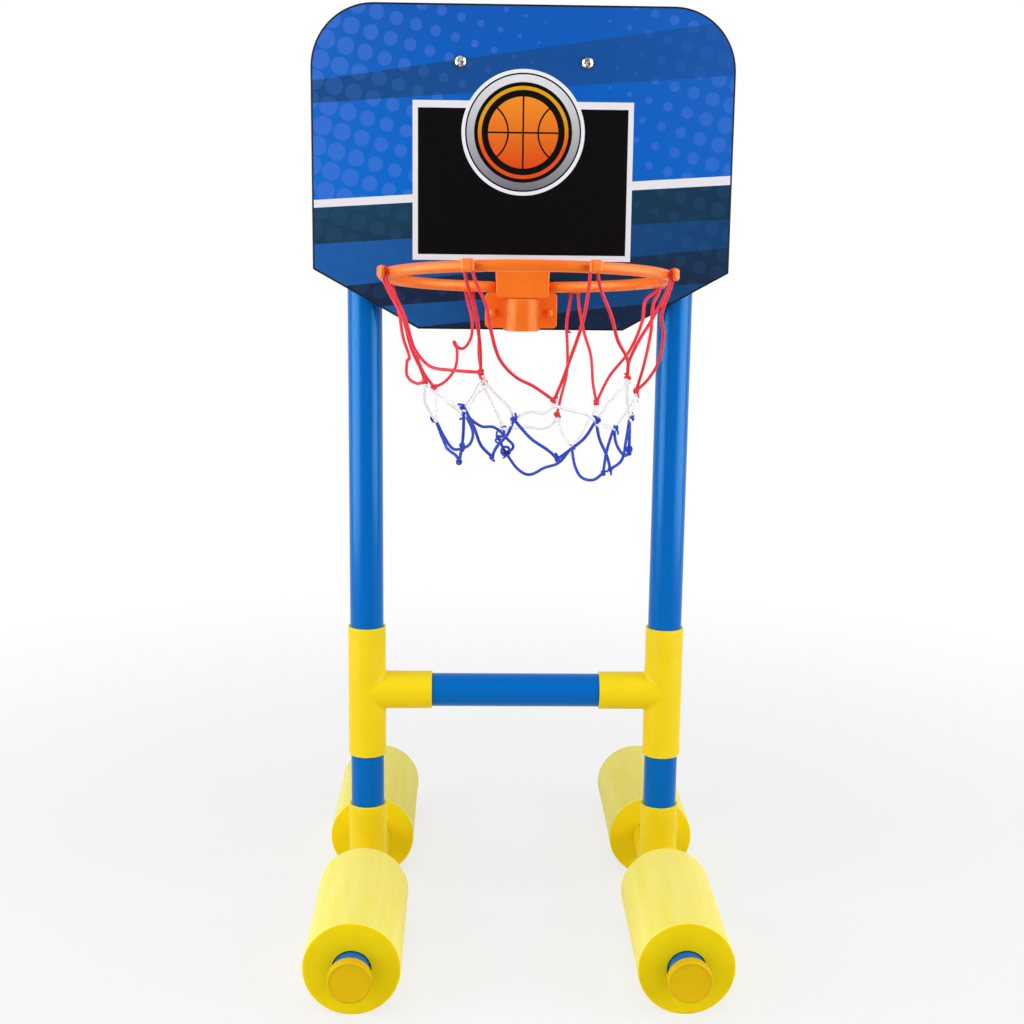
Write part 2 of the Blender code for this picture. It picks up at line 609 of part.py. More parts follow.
WHITE_STRANDS_SHARES = [
    ("I", [(-151, 0.71, 0.64)], "BI"), ("B", [(-125, 0.69, 0.66)], "BI"), ("B", [(-111, 0.69, 0.66)], "AB"),
    ("A", [(-86, 0.71, 0.63)], "AB"), ("A", [(-53, 0.74, 0.57)], "AC"), ("C", [(-29, 0.76, 0.52)], "AC"),
    ("C", [(-16, 0.76, 0.53), (-11, 0.72, 0.58)], "CD"), ("D", [(9, 0.72, 0.61), (-1, 0.71, 0.61)], "CD"),
    ("D", [(22, 0.72, 0.60), (35, 0.70, 0.63)], "DG"), ("G", [(52, 0.73, 0.57)], "DG"),
    ("G", [(70, 0.75, 0.57)], "GH"), ("H", [(85, 0.78, 0.64)], "GH"), ("H", [(93, 0.74, 0.66)], "HF"),
    ("F", [(121, 0.65, 0.73), (109, 0.63, 0.76)], "HF"), ("F", [(132, 0.61, 0.80)], "EF"),
    ("E", [(149, 0.59, 0.84)], "EF"), ("E", [(163, 0.61, 0.81), (176, 0.61, 0.81)], "IE"),
    ("I", [(-161, 0.66, 0.70)], "IE"),
]
BLUE_STRANDS_SHARES = [
    ("BI", [(-142, 0.60, 0.83), (-137, 0.57, 0.88)], "BI-AB"), ("AB", [(-108, 0.60, 0.83), (-116, 0.57, 0.89)], "BI-AB"),
    ("AB", [(-86, 0.60, 0.85), (-66, 0.57, 0.89)], "AB-AC"), ("AC", [(-42, 0.65, 0.72), (-48, 0.60, 0.81)], "AB-AC"),
    ("AC", [(-32, 0.68, 0.70), (-30, 0.62, 0.79)], "AC-CD"), ("CD", [(-12, 0.65, 0.72), (-20, 0.61, 0.79)], "AC-CD"),
    ("CD", [(2, 0.64, 0.74), (15, 0.61, 0.81)], "CD-DG"), ("DG", [(38, 0.64, 0.75), (30, 0.61, 0.80)], "CD-DG"),
    ("DG", [(52, 0.64, 0.76), (66, 0.63, 0.87)], "DG-GH"), ("GH", [(78, 0.73, 0.80), (78, 0.70, 0.90)], "DG-GH"),
    ("GH", [(82, 0.75, 0.78)], "GH-HF"), ("HF", [(95, 0.67, 0.84), (91, 0.72, 0.89)], "GH-HF"),
    ("HF", [(95, 0.60, 0.87)], "HF-EF"), ("EF", [(132, 0.52, 0.98), (119, 0.49, 1.03), (103, 0.52, 1.03)], "HF-EF"),
    ("EF", [(148, 0.51, 0.98), (160, 0.50, 1.01), (174, 0.49, 1.05), (-178, 0.50, 1.03)], "EF-IE"),
    ("IE", [(-166, 0.58, 0.85)], "IE-BI"), ("EF-IE", [(-164, 0.55, 0.90)], "IE-BI"),
    ("BI", [(-150, 0.61, 0.80), (-160, 0.61, 0.81), (-169, 0.57, 0.87), (-173, 0.54, 0.91)], "EF-IE"),
]
WHITE_FALL = RED_KNOT_R + WHITE_KNOT_R + FIT  # a white knot hangs this far under its red one
BLUE_FALL = WHITE_KNOT_R + BLUE_KNOT_R + FIT


def net_place(degrees_shares, fall=0):
    angle, out, down = radians(degrees_shares[0]), degrees_shares[1] * RING_R, degrees_shares[2] * NET_DROP
    return Vector((out * sin(angle), RING_Y - out * cos(angle), RING_Z - down - fall))


def hook_place(number, across, out, up):
    """A place at a hook: across it to the right seen from outside, out from the ring's centreline, and up."""
    turn = Matrix.Rotation(-RING_TILT, 4, "X") @ Matrix.Rotation(2 * pi * (number - 1 / 2) / HOOKS, 4, "Z")
    return Matrix.Translation((0, RING_Y, RING_Z)) @ turn @ Vector((across, -RING_R - out, up))


def smooth_path(places):
    """A curve through the places that doesn't swing wide of them, with a point about every cord step."""
    runs = [b - a for a, b in zip(places, places[1:])]
    leads = [runs[0]] + [a.normalized() + b.normalized() for a, b in zip(runs, runs[1:])] + [runs[-1]]
    leads = [lead.normalized() for lead in leads]
    path = [places[0]]
    for a, b, run, leave, arrive in zip(places, places[1:], runs, leads, leads[1:]):
        count = max(1, round(run.length / CORD_STEP))
        for i in range(1, count + 1):
            t = i / count
            spot = (2 * t**3 - 3 * t**2 + 1) * a + (3 * t**2 - 2 * t**3) * b
            path.append(spot + run.length * ((t**3 - 2 * t**2 + t) * leave + (t**3 - t**2) * arrive))
    return path


def net_tier(name, strands, knots, knot_radius, look):
    """One colour of the net: its strands and its knots, joined into one body."""
    form = bmesh.new()
    for place in knots:
        bmesh.ops.create_icosphere(form, subdivisions=1, radius=knot_radius, matrix=Matrix.Translation(place))
    tier = add(name, mesh_from(form, name), look)
    tangle = bmesh.new()
    for path in strands:
        strand = rod(f"{name}_strand", path, CORD_R, CORD_SIDES)
        tangle.from_mesh(strand.data)
        bpy.data.objects.remove(strand)
    strands_obj = add(f"{name}_strands", mesh_from(tangle, f"{name}_strands"), where=CUTTERS)
    join(tier, strands_obj)
    tier.modifiers[-1].use_self = True
    return tier


RED_CORD = material("red_cord", "#DB2030", 0.8)
WHITE_CORD = material("white_cord", "#EEF0F3", 0.8)
BLUE_CORD = material("blue_cord", "#2238A8", 0.8)

loop_r = HOOK_NECK_R + FIT + CORD_R
groove_middle = RING_TUBE_R + HOOK_GROOVE / 2
red_strands = []
for start, before, number, after, finish in RED_STRANDS_SHARES:
    places = [net_place(RED_KNOT_SHARES[start])] + [net_place(place) for place in before]
    places.append(hook_place(number, -loop_r, groove_middle - STRAND_IN, -STRAND_FALLS))
    places += [hook_place(number, -x, groove_middle, up) for x, up in arc((0, 0), loop_r, 0, pi, NECK_LOOP_STEPS)]
    places.append(hook_place(number, loop_r, groove_middle - STRAND_IN, -STRAND_FALLS))
    places += [net_place(place) for place in after] + [net_place(RED_KNOT_SHARES[finish])]
    red_strands.append(smooth_path(places))
net_tier("net_red", red_strands, [net_place(k) for k in RED_KNOT_SHARES.values()], RED_KNOT_R, RED_CORD)

white_strands = [
    smooth_path([net_place(RED_KNOT_SHARES[top], WHITE_FALL)] + [net_place(p) for p in middle]
                + [net_place(WHITE_KNOT_SHARES[low])])
    for top, middle, low in WHITE_STRANDS_SHARES
]
white_knots = [net_place(k, WHITE_FALL) for k in RED_KNOT_SHARES.values()]
white_knots += [net_place(k) for k in WHITE_KNOT_SHARES.values()]
net_tier("net_white", white_strands, white_knots, WHITE_KNOT_R, WHITE_CORD)

blue_strands = []
for top, middle, low in BLUE_STRANDS_SHARES:
    start = BLUE_KNOT_SHARES[top] if top in BLUE_KNOT_SHARES else None
    first = net_place(start) if start else net_place(WHITE_KNOT_SHARES[top], BLUE_FALL)
    blue_strands.append(smooth_path([first] + [net_place(p) for p in middle] + [net_place(BLUE_KNOT_SHARES[low])]))
blue_knots = [net_place(k, BLUE_FALL) for k in WHITE_KNOT_SHARES.values()]
blue_knots += [net_place(k) for k in BLUE_KNOT_SHARES.values()]
net_tier("net_blue", blue_strands, blue_knots, BLUE_KNOT_R, BLUE_CORD)
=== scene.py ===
"""The floating basketball hoop as the eye sees it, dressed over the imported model.

Metres, +Z up, and the hoop faces -Y. The sizes repeat those of the CAD source, and so do the net's places.
Every place is worked out about the plane of the two uprights, and FRAME_Y then moves it, as in the source.
"""

from math import cos, pi, radians, sin

import bmesh
import bpy
import numpy as np
from mathutils import Matrix, Vector


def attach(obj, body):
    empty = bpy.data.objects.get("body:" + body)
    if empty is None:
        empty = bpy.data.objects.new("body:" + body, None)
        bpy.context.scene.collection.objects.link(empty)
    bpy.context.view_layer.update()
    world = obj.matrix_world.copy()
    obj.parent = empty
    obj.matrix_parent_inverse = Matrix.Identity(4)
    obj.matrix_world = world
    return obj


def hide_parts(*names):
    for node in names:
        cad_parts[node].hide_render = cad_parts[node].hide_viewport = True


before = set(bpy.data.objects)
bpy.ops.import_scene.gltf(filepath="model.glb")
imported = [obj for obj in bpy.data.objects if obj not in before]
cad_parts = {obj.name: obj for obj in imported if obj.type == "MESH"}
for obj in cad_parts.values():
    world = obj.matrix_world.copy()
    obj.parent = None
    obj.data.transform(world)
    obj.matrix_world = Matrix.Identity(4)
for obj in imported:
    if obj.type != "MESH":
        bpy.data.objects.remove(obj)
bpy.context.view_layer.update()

MM = 0.001


def mm(*sizes):
    """Sizes in millimetres, as metres."""
    return [size * MM for size in sizes]


def added(name, data):
    """A new object in the scene."""
    made = bpy.data.objects.new(name, data)
    bpy.context.scene.collection.objects.link(made)
    return made


FIT, WELD = mm(0.3, 0.002)

# Pipe, tee and elbow
PIPE_R, PIPE_WALL, PIPE_SIDES = 12.5 * MM, 2 * MM, 72
FITTING_WALL, SOCKET_DEPTH = mm(1.3, 22)
PUSH_FIT = 0.04 * MM  # a push fit is tight round its pipe
RUN_HALF, BRANCH_REACH, ELBOW_BEND, BEND_ROWS = 50 * MM, 49 * MM, 18 * MM, 25
TEE_FILLET = 2.5 * MM
MOUTH_EDGE, MOUTH_INNER_EDGE, CUT_EDGE = mm(0.6, 0.2, 0.4)
SPREAD_HALF, LOWER_RISER_SHOWS, UPRIGHT_SHOWS = mm(112, 40, 359)

# Floats and caps
FLOAT_R, FLOAT_LENGTH, FLOAT_BORE_SLACK, FLOAT_EDGE = mm(33, 125, 0.8, 1.2)
FLOAT_DENT, FLOAT_EASE, FLOAT_SIDES, FLOAT_ROWS = 0.1 * MM, 4 * MM, 144, 60
SKID_SHOWS, CAP_DEPTH, CAP_R, CAP_FACE, CAP_ROUND = mm(12.7, 7, 15, 2.2, 2)
CAP_DISH = 0.4 * MM

# Backboard and its bolts
BOARD_HALF_W, BOARD_H, BOARD_T, BOARD_OVER_RAIL = mm(147.5, 223, 4, 38.5)
BOARD_CORNER, BOARD_LOW_CORNER, BOARD_EDGE = mm(44, 1.5, 1.1)
BOARD_CHAMFER_W, BOARD_CHAMFER_H = mm(74.5, 41.3)
BOLT_HALF_SPAN, BOLT_R, BOLT_HEAD_R, BOLT_DOME, BOLT_END = mm(44, 2, 4.2, 2.4, 1.2)
THREAD_SHOWS, THREAD_DEPTH, THREAD_PITCH = mm(3, 0.3, 0.7)
NUT_R, NUT_T, SMALL_SIDES = 4 * MM, 3.2 * MM, 48

# Bracket and rivets
BRACKET_RISE, PLATE_HALF_W, PLATE_H, PLATE_T, PLATE_CORNER = mm(1.5, 25.6, 25, 3, 3)
SOCKET_STANDOFF, SOCKET_R, SOCKET_H = mm(17.8, 12.9, 22.7)
NECK_HALF_W, NECK_H, NECK_RISE = mm(7, 19, 1)
RIVET_HALF_SPAN, RIVET_RISE, RIVET_R = mm(19.5, 10.6, 1.5)
RIVET_HEAD_R, RIVET_DOME, RIVET_TAIL_R, RIVET_TAIL = mm(3.25, 2, 2.8, 3)

# Rim
RING_R, RING_TUBE_R, RING_TILT = 91 * MM, 3.5 * MM, radians(6.5)
RING_FORWARD, RING_RISE, RING_BEND, RING_TAIL = mm(0.9, 8.7, 5, 5)
RING_SAG, RING_SWELL = mm(1.9, 0.35)  # at its back
BLOCK_HALF_W, BLOCK_TAPER, BLOCK_D, BLOCK_H, BLOCK_CORNER = mm(18.7, 0.7, 30, 19.5, 3)
PEG_R, PEG_WALL, PEG_LENGTH, SINK = mm(10.3, 2.3, 21, 1.4)
HOOKS, HOOK_NECK_R, HOOK_FLARE, HOOK_GROOVE = 8, 1.5 * MM, 1.1 * MM, 2.8 * MM
HOOK_HEAD_T, HOOK_HEAD_W, HOOK_HEAD_H, HOOK_CORNER = mm(2.8, 8.6, 7.7, 2.1)

# Net
CORD_R, NET_DROP = mm(0.8, 130)
RED_KNOT_R, RED_JOINT_R, BLUE_KNOT_R = mm(2.3, 1.4, 1.9)
WHITE_TOP_R, WHITE_LOW_R, BLUE_TOP_R = mm(2, 1.7, 2.2)
STRAND_FALLS, STRAND_IN = mm(5, 0.5)
WHITE_FALL = 3.2 * MM  # a white knot hangs this far under its red one, through which its cord is looped
BLUE_FALL, BLUE_OUT = -0.6 * MM, 1.3  # a blue knot sits on its white one, out from it by this percentage
CORD_STEP = 0.8 * MM  # between the rings of a strand
CORD_LAY = 5 * MM  # length of one full turn of its three twisted yarns

# Worked out from the sizes above
MOUTH_BORE_R, FITTING_R = PIPE_R + PUSH_FIT, PIPE_R + FIT + FITTING_WALL
BORE_R = PIPE_R - PIPE_WALL
RUN_STOP, BRANCH_STOP = RUN_HALF - SOCKET_DEPTH, BRANCH_REACH - SOCKET_DEPTH
SKID_Z = FLOAT_R
MID_TEE_Z = SKID_Z + BRANCH_REACH + LOWER_RISER_SHOWS + RUN_HALF
RAIL_Z = MID_TEE_Z + RUN_HALF + UPRIGHT_SHOWS + BRANCH_REACH
FLOAT_START = RUN_HALF + FIT
FLOAT_END = FLOAT_START + FLOAT_LENGTH
CAP_START = FLOAT_END + SKID_SHOWS
SKID_REACH = CAP_START + CAP_DEPTH
SKID_PIPE_END = SKID_REACH - CAP_FACE - FIT
BOARD_BACK_Y = -(FITTING_R + FIT)
BOARD_FRONT_Y = BOARD_BACK_Y - BOARD_T
BOARD_TOP_Z = RAIL_Z + BOARD_OVER_RAIL
BOARD_BOTTOM_Z = BOARD_TOP_Z - BOARD_H
PLATE_BOTTOM_Z = BOARD_BOTTOM_Z + BRACKET_RISE
PLATE_BACK_Y = BOARD_FRONT_Y - FIT
PLATE_FRONT_Y = PLATE_BACK_Y - PLATE_T
PEG_Y = PLATE_FRONT_Y - SOCKET_STANDOFF
BLOCK_BOTTOM_Z = PLATE_BOTTOM_Z + SOCKET_H + FIT
RING_BACK_Y, RING_BACK_Z = PEG_Y - RING_FORWARD, BLOCK_BOTTOM_Z + RING_RISE
RING_Y, RING_Z = RING_BACK_Y - RING_R * cos(RING_TILT), RING_BACK_Z + RING_R * sin(RING_TILT)
FRONT_REACH = -RING_Y + RING_R * cos(RING_TILT) + RING_TUBE_R
FRAME_Y = (FRONT_REACH - SKID_REACH) / 2

X, Y, Z = np.eye(3)
SIDES = {"left": -1, "right": 1}
ENDS = {"front": -1, "rear": 1}


# Camera, where the photograph was taken from
def set_camera():
    """Looks along a yaw and a pitch from the place that the pipes' and the board's edges give, and leans by
    the roll."""
    yaw, pitch, roll = 0.0261147, 0.1947299, 0.0119802
    place, lens, film, near, far = (-0.0343648, -1.1425426, 0.5376934), 55.946, 36, 0.01, 50
    ahead = np.array([sin(yaw) * cos(pitch), cos(yaw) * cos(pitch), -sin(pitch)])
    level = np.array([cos(yaw), -sin(yaw), 0])
    over = np.cross(level, ahead)
    right = cos(roll) * level + sin(roll) * over
    up = -sin(roll) * level + cos(roll) * over
    camera = added("camera", bpy.data.cameras.new("camera"))
    camera.data.lens, camera.data.sensor_width = lens, film
    camera.data.clip_start, camera.data.clip_end = near, far
    turn = Matrix(np.stack([right, up, -ahead], 1).tolist())
    camera.matrix_world = Matrix.Translation(place) @ turn.to_4x4()
    bpy.context.scene.camera = camera


set_camera()


# Materials
def linear(code):
    """An sRGB hex colour as linear red, green and blue, with full alpha."""
    shares = [int(code[i : i + 2], 16) / 255 for i in (1, 3, 5)]
    return (*(c / 12.92 if c <= 0.04045 else ((c + 0.055) / 1.055) ** 2.4 for c in shares), 1.0)


def node(look, kind, feeds=(), gives=0, **settings):
    """Adds a node with its settings, and its operation where one stands after its kind. Feeds are values, or
    other nodes' outputs, for its sockets: in a row from the first one on, or by their names."""
    kind, _, operation = kind.partition(" ")
    made = look.node_tree.nodes.new("ShaderNode" + kind)
    if operation:
        made.operation = operation
    for name, value in settings.items():
        setattr(made, name, value)
    for socket, value in feeds.items() if isinstance(feeds, dict) else enumerate(feeds):
        if isinstance(value, bpy.types.NodeSocket):
            look.node_tree.links.new(value, made.inputs[socket])
        else:
            made.inputs[socket].default_value = value
    return made.outputs[gives]


def surface(name, roughness, base="#FFFFFF", ior=1.5, **sockets):
    """A material with a Principled surface, its shader, and the sockets that stay the same all over."""
    look = bpy.data.materials.new(name)
    look.use_nodes = True
    shader = look.node_tree.nodes["Principled BSDF"]
    shader.inputs["Base Color"].default_value = linear(base)
    shader.inputs["Roughness"].default_value = roughness
    shader.inputs["IOR"].default_value = ior
    for socket, value in sockets.items():
        shader.inputs[socket.replace("_", " ")].default_value = value
    return look, shader


def inked(look, under, ink, mask, share=None):
    """Lays an ink over a colour where the mask is 1, and thinner by the share. Both are hex codes or nodes'
    colours."""
    if share is not None:
        mask = node(look, "Math MULTIPLY", (mask, share))
    under, ink = (linear(colour) if isinstance(colour, str) else colour for colour in (under, ink))
    return node(look, "Mix", {0: mask, 6: under, 7: ink}, 2, data_type="RGBA")


def varied(look, shader, where, size, low, high, socket="Base Color", detail=3.0):
    """Lets a socket wander between two values over blotches of that size: a noise, stretched over its
    range."""
    noise = node(look, "TexNoise", {"Vector": where, "Scale": 1 / size, "Detail": detail, "Roughness": 0.55})
    if socket == "Base Color":
        mixed = inked(look, low, high, node(look, "MapRange", (noise, 0.3, 0.7)))
    else:
        mixed = node(look, "MapRange", (noise, 0.3, 0.7, low, high))
    look.node_tree.links.new(mixed, shader.inputs[socket])


def pressed(look, shader, height, depth, strength):
    """Gives the shader a bump of that depth in metres, from a height of 0 to 1."""
    bump = node(look, "Bump", {"Height": height, "Distance": depth, "Strength": strength})
    look.node_tree.links.new(bump, shader.inputs["Normal"])


def finished(name, roughness, blotch, low, high, detail=3.0, drawn=None, gloss=None, grain=None, even=False,
             **sockets):
    """A material whose colour wanders from low to high over blotches of a size. Gloss is the size over which
    its roughness wanders, and both its ends. Grain is what presses into it: the texture, its size, its
    detail, and the depth and strength. What was drawn lies on the piece's own UV map, one over that number
    long, though an even grain isn't longer. What wasn't lies in space."""
    look, shader = surface(name, roughness, **sockets)
    if drawn:
        own = node(look, "UVMap", uv_map="surface")
        place = node(look, "Mapping", {"Vector": own, "Scale": (1.0, drawn, 1.0)})
    else:
        own = place = node(look, "TexCoord", gives="Object")
    varied(look, shader, place, blotch, low, high, detail=detail)
    if gloss:
        varied(look, shader, place, *gloss, "Roughness")
    if grain:
        kind, size, fine, depth, strength = grain
        height = node(look, kind, {"Vector": own if even else place, "Scale": 1 / size, "Detail": fine})
        pressed(look, shader, height, depth, strength)
    return look


def moulded(name, low, high, roughness, grain, depth, ior, level, tint="#FFFFFF"):
    """Injection-moulded plastic: even colour, a satin gloss that varies a little where the melt cooled, and a
    fine skin. The tint is that of its streaks."""
    return finished(name, roughness, 22 * MM, low, high, gloss=(9 * MM, roughness - 0.05, roughness + 0.06),
                    grain=("TexNoise", grain, 2.0, depth, 0.4), ior=ior, Specular_IOR_Level=level,
                    Specular_Tint=linear(tint))


def sheet(name, low, high, roughness, level):
    """Black polypropylene sheet, rolled and sawn: a dull, slightly pebbled skin."""
    return finished(name, roughness, 30 * MM, low, high, grain=("TexNoise", 1.4 * MM, 3.0, 0.06 * MM, 0.5),
                    Specular_IOR_Level=level)


def cord(colour, low, high):
    """Twisted polypropylene cord: three yarns, a faint sheen off the fibres, and 0.25 mm fibres along each
    yarn."""
    return finished(f"twisted_{colour}_polypropylene", 0.65, 1.2 * MM, low, high, drawn=0.2,
                    grain=("TexNoise", 0.25 * MM, 2.0, 0.03 * MM, 0.15), Sheen_Weight=0.05,
                    Sheen_Roughness=0.4, Specular_IOR_Level=0.15)


def above(look, x, z, height, slope):
    """1 above the line that crosses the board's middle at that height, and 0 below it."""
    line = node(look, "Math MULTIPLY_ADD", (x, slope, height))
    return node(look, "Math GREATER_THAN", (z, line))


def printed():
    """A print under matt film, laid on the board's front: deep inks that hardly mirror. Everything is placed
    in the board's own x and z, in metres."""
    look, shader = surface("matt_laminated_print", 0.4, ior=1.49, Specular_IOR_Level=0.03)
    place = node(look, "TexCoord", gives="Object")
    x, z = (node(look, "SeparateXYZ", (place,), axis) for axis in "XZ")
    side = node(look, "Math ABSOLUTE", (x,))
    outwards = node(look, "MapRange", (side, 0.03, 0.15), interpolation_type="SMOOTHSTEP")
    rightwards = node(look, "MapRange", (x, -0.15, 0.15))

    # Bright upper field, deeper towards the right and the top, and a little lighter towards both sides
    upwards = node(look, "MapRange", (z, 0.54, 0.665))
    field = inked(look, inked(look, "#006ACF", "#0060C2", rightwards), "#1459B6", upwards)
    field = inked(look, field, "#2F6CCC", outwards, 0.25)

    # Lower field: slanting stripes, alternately dark and mid blue. The dark ones go from teal to navy on the
    # way down. Each stripe lies above its line, a height and a slope
    downwards = node(look, "MapRange", (z, 0.525, 0.475))
    dark = inked(look, inked(look, "#1C4059", "#163650", rightwards), "#1B2B48", downwards)
    mid = inked(look, "#205CA6", "#16406E", rightwards)
    lower = dark
    stripes = (mid, 0.5146, 0.0714), (dark, 0.489, 0.11), (mid, 0.4692, 0.08), (dark, 0.455, 0.11)
    for shade, height, slope in stripes:
        lower = inked(look, shade, lower, above(look, x, z, height, slope))

    # Round dots on a square grid of 14.05 mm, turned by 16.75 degrees about one of them. They shrink evenly
    # from both sides towards a line about 38 mm right of the middle, where they vanish
    pitch, turn, one_dot, middle = 14.05 * MM, radians(16.75), (-0.1188, 0, 0.6528), (0.5, 0, 0.5)
    from_dot = node(look, "VectorMath SUBTRACT", (place, one_dot))
    cell = node(look, "VectorRotate", {"Vector": from_dot, "Angle": -turn}, rotation_type="Y_AXIS")
    for operation, by in (("DIVIDE", (pitch, 1, pitch)), ("ADD", middle), ("FRACTION", (0, 0, 0)),
                          ("SUBTRACT", middle), ("MULTIPLY", (1, 0, 1))):
        cell = node(look, f"VectorMath {operation}", (cell, by))
    reach = node(look, "VectorMath LENGTH", (cell,), "Value")
    left_size = node(look, "Math MULTIPLY_ADD", (x, -2.65, 0.0975))
    right_size = node(look, "Math MULTIPLY_ADD", (x, 3.9, -0.157))
    size = node(look, "Math MAXIMUM", (left_size, right_size))
    dots = node(look, "Math GREATER_THAN", (size, reach))

    # A darker swoosh across the upper field, strongest at the left. The dots are fainter on it, towards the
    # right, and in the lower field
    swoosh_low, swoosh_high = above(look, x, z, 0.6118, 0.0765), above(look, x, z, 0.6379, 0.1505)
    swoosh = node(look, "Math SUBTRACT", (swoosh_low, swoosh_high))
    strength = node(look, "MapRange", (rightwards, 0, 1, 0.97, 0.45))
    field = inked(look, field, "#1C4880", swoosh, strength)
    softness = node(look, "MapRange", (rightwards, 0, 1, 0.4, 0.31))
    softness = node(look, "Math MULTIPLY_ADD", (swoosh, -0.23, softness))
    field = inked(look, field, "#4E7CDA", dots, softness)
    lower = inked(look, lower, "#3A6CA8", dots, 0.09)

    # White band between the fields
    colour = inked(look, lower, field, above(look, x, z, 0.5419, 0.067))
    band = node(look, "Math SUBTRACT", (above(look, x, z, 0.5390, 0.0655), above(look, x, z, 0.5448, 0.0686)))
    colour = inked(look, colour, "#E6E6EC", band)

    # Black target square in its white line
    for half_w, bottom, top, ink in ((0.077, 0.4942, 0.6038, "#E6E6EC"), (0.0733, 0.4982, 0.5988, "#090809")):
        wide = node(look, "Math GREATER_THAN", (half_w, side))
        tall = node(look, "Math COMPARE", (z, (bottom + top) / 2, (top - bottom) / 2))
        colour = inked(look, colour, ink, wide, tall)

    # A plain roundel with a ball: rings of white, navy and silver round a black disc, and a thin hoop in it
    roundel_z, ball_r, seam_r, seam_x, seam_half_w = 0.5825, 0.0245, 0.0215, 0.032, 0.0006
    flat = node(look, "VectorMath ADD", (place, (0, 0, -roundel_z)))
    flat = node(look, "VectorMath MULTIPLY", (flat, (1, 0, 1)))
    out = node(look, "VectorMath LENGTH", (flat,), "Value")
    tall = node(look, "SeparateXYZ", (flat,), "Z")
    shades = []
    for half_h, low, high in ((0.04, "#6E7078", "#E3E4E8"), (0.012, "#E2521E", "#DDA010"),
                              (0.025, "#D9481A", "#F0902A")):
        lit = node(look, "MapRange", (tall, -half_h, half_h))
        shades.append(inked(look, low, high, lit))
    silver, gold, orange = shades
    for radius, ink in ((0.043, "#EBEBF0"), (0.0405, "#0F1A2C"), (0.0394, silver), (0.0342, "#0B0A0C")):
        colour = inked(look, colour, ink, node(look, "Math GREATER_THAN", (radius, out)))
    colour = inked(look, colour, gold, node(look, "Math COMPARE", (out, 0.0303, 0.0013)))
    ball = node(look, "Math GREATER_THAN", (ball_r, out))
    colour = inked(look, colour, orange, ball)
    seams = [(x, 0.0), (tall, 0.0)]
    for centre in (-seam_x, seam_x):
        shifted = node(look, "VectorMath SUBTRACT", (flat, (centre, 0, 0)))
        seams.append((node(look, "VectorMath LENGTH", (shifted,), "Value"), seam_r))
    for away, middle in seams:
        seam = node(look, "Math COMPARE", (away, middle, seam_half_w))
        colour = inked(look, colour, "#140D0A", seam, ball)

    look.node_tree.links.new(colour, shader.inputs["Base Color"])
    ripple = node(look, "TexNoise", {"Vector": place, "Scale": 1 / (5 * MM), "Detail": 2.0})
    gloss = node(look, "MapRange", (ripple, 0, 1, 0.34, 0.46))
    look.node_tree.links.new(gloss, shader.inputs["Roughness"])
    pressed(look, shader, ripple, 0.02 * MM, 0.25)
    return look


# The looks that go with each material slot
LOOKS = {
    # Extruded PVC pipe, drawn through a die: a deep colour under thin soft streaks, and hair-fine lines along
    # it, 1 mm apart. Its gloss is low and sky blue, because the blue stays deep beside the streaks
    "blue_pipe": [
        finished("extruded_blue_pvc", 0.2, 6 * MM, "#0062BC", "#006AC2", drawn=0.012,
                 gloss=(2 * MM, 0.16, 0.24), grain=("TexNoise", 1 * MM, 2.0, 0.02 * MM, 0.5), ior=1.53,
                 Specular_IOR_Level=0.18, Specular_Tint=linear("#89E7FF"))],
    "yellow_fitting": [
        moulded("moulded_yellow_pvc", "#F2D208", "#F5D812", 0.38, 0.9 * MM, 0.02 * MM, 1.53, 0.13)],
    "yellow_cap": [
        moulded("moulded_yellow_vinyl", "#E2B800", "#E8C004", 0.42, 0.7 * MM, 0.03 * MM, 1.5, 0.08)],
    "orange_plastic": [
        moulded("moulded_orange_polypropylene", "#F66E1A", "#FC7A22", 0.3, 1.1 * MM, 0.02 * MM, 1.49, 0.24,
                "#FFF8B8")],
    # Extruded polyethylene foam, its closed outer skin: pale where light scatters out of it at the sides,
    # with soft streaks along it, 10 mm apart, from the die, and shallow dimples of 3 mm. Then the same foam
    # where a blade cut it across: open cells about 1 mm wide, so deeper yellow and without gloss
    "yellow_foam": [
        finished("polyethylene_foam_skin", 0.62, 10 * MM, "#FBEB4C", "#FFF47A", drawn=0.1, even=True,
                 grain=("TexNoise", 3 * MM, 4.0, 0.08 * MM, 0.3), Sheen_Weight=0.25, Sheen_Roughness=0.5,
                 Specular_IOR_Level=0.2),
        finished("polyethylene_foam_cut", 0.85, 14 * MM, "#F6D800", "#FBDF04",
                 grain=("TexVoronoi", 1 * MM, 0.0, 0.12 * MM, 0.4), Specular_IOR_Level=0.1)],
    # Turned and polished stainless steel: mirror bright, with rings too fine to see, drawn here as a soft
    # blur. Darker patches of 2 mm are painted into its colour: a painted reflection of dark surroundings
    "bright_steel": [
        finished("polished_stainless_steel", 0.14, 2.2 * MM, "#4A4644", "#D4D6D4", detail=1.0,
                 gloss=(3 * MM, 0.08, 0.22), Metallic=1.0)],
    "printed_board": [
        printed(),
        sheet("sawn_black_polypropylene", "#08080B", "#101014", 0.6, 0.08),
        sheet("rolled_black_polypropylene", "#15161A", "#1C1D22", 0.5, 0.3)],
    "red_cord": [cord("red", "#DA2636", "#F03C48")],
    "white_cord": [cord("white", "#F1F3F4", "#F7F8F8")],
    "blue_cord": [cord("blue", "#1A2FA8", "#3553D0")],
}


# Surfaces: each is a grid of points, rows along the piece and columns round it
def unit(v):
    """Vectors at length 1, and a zero vector left as it is."""
    size = np.linalg.norm(v, axis=-1, keepdims=True)
    return v / np.where(size > 0, size, 1)


def circle(count):
    """So many angles, evenly round a circle."""
    return 2 * pi * np.arange(count) / count


def turned(angle, first, second):
    """Directions that lie these angles from the first direction towards the second: the angle's cosine of the
    one, and its sine of the other."""
    return np.cos(angle)[..., None] * first + np.sin(angle)[..., None] * second


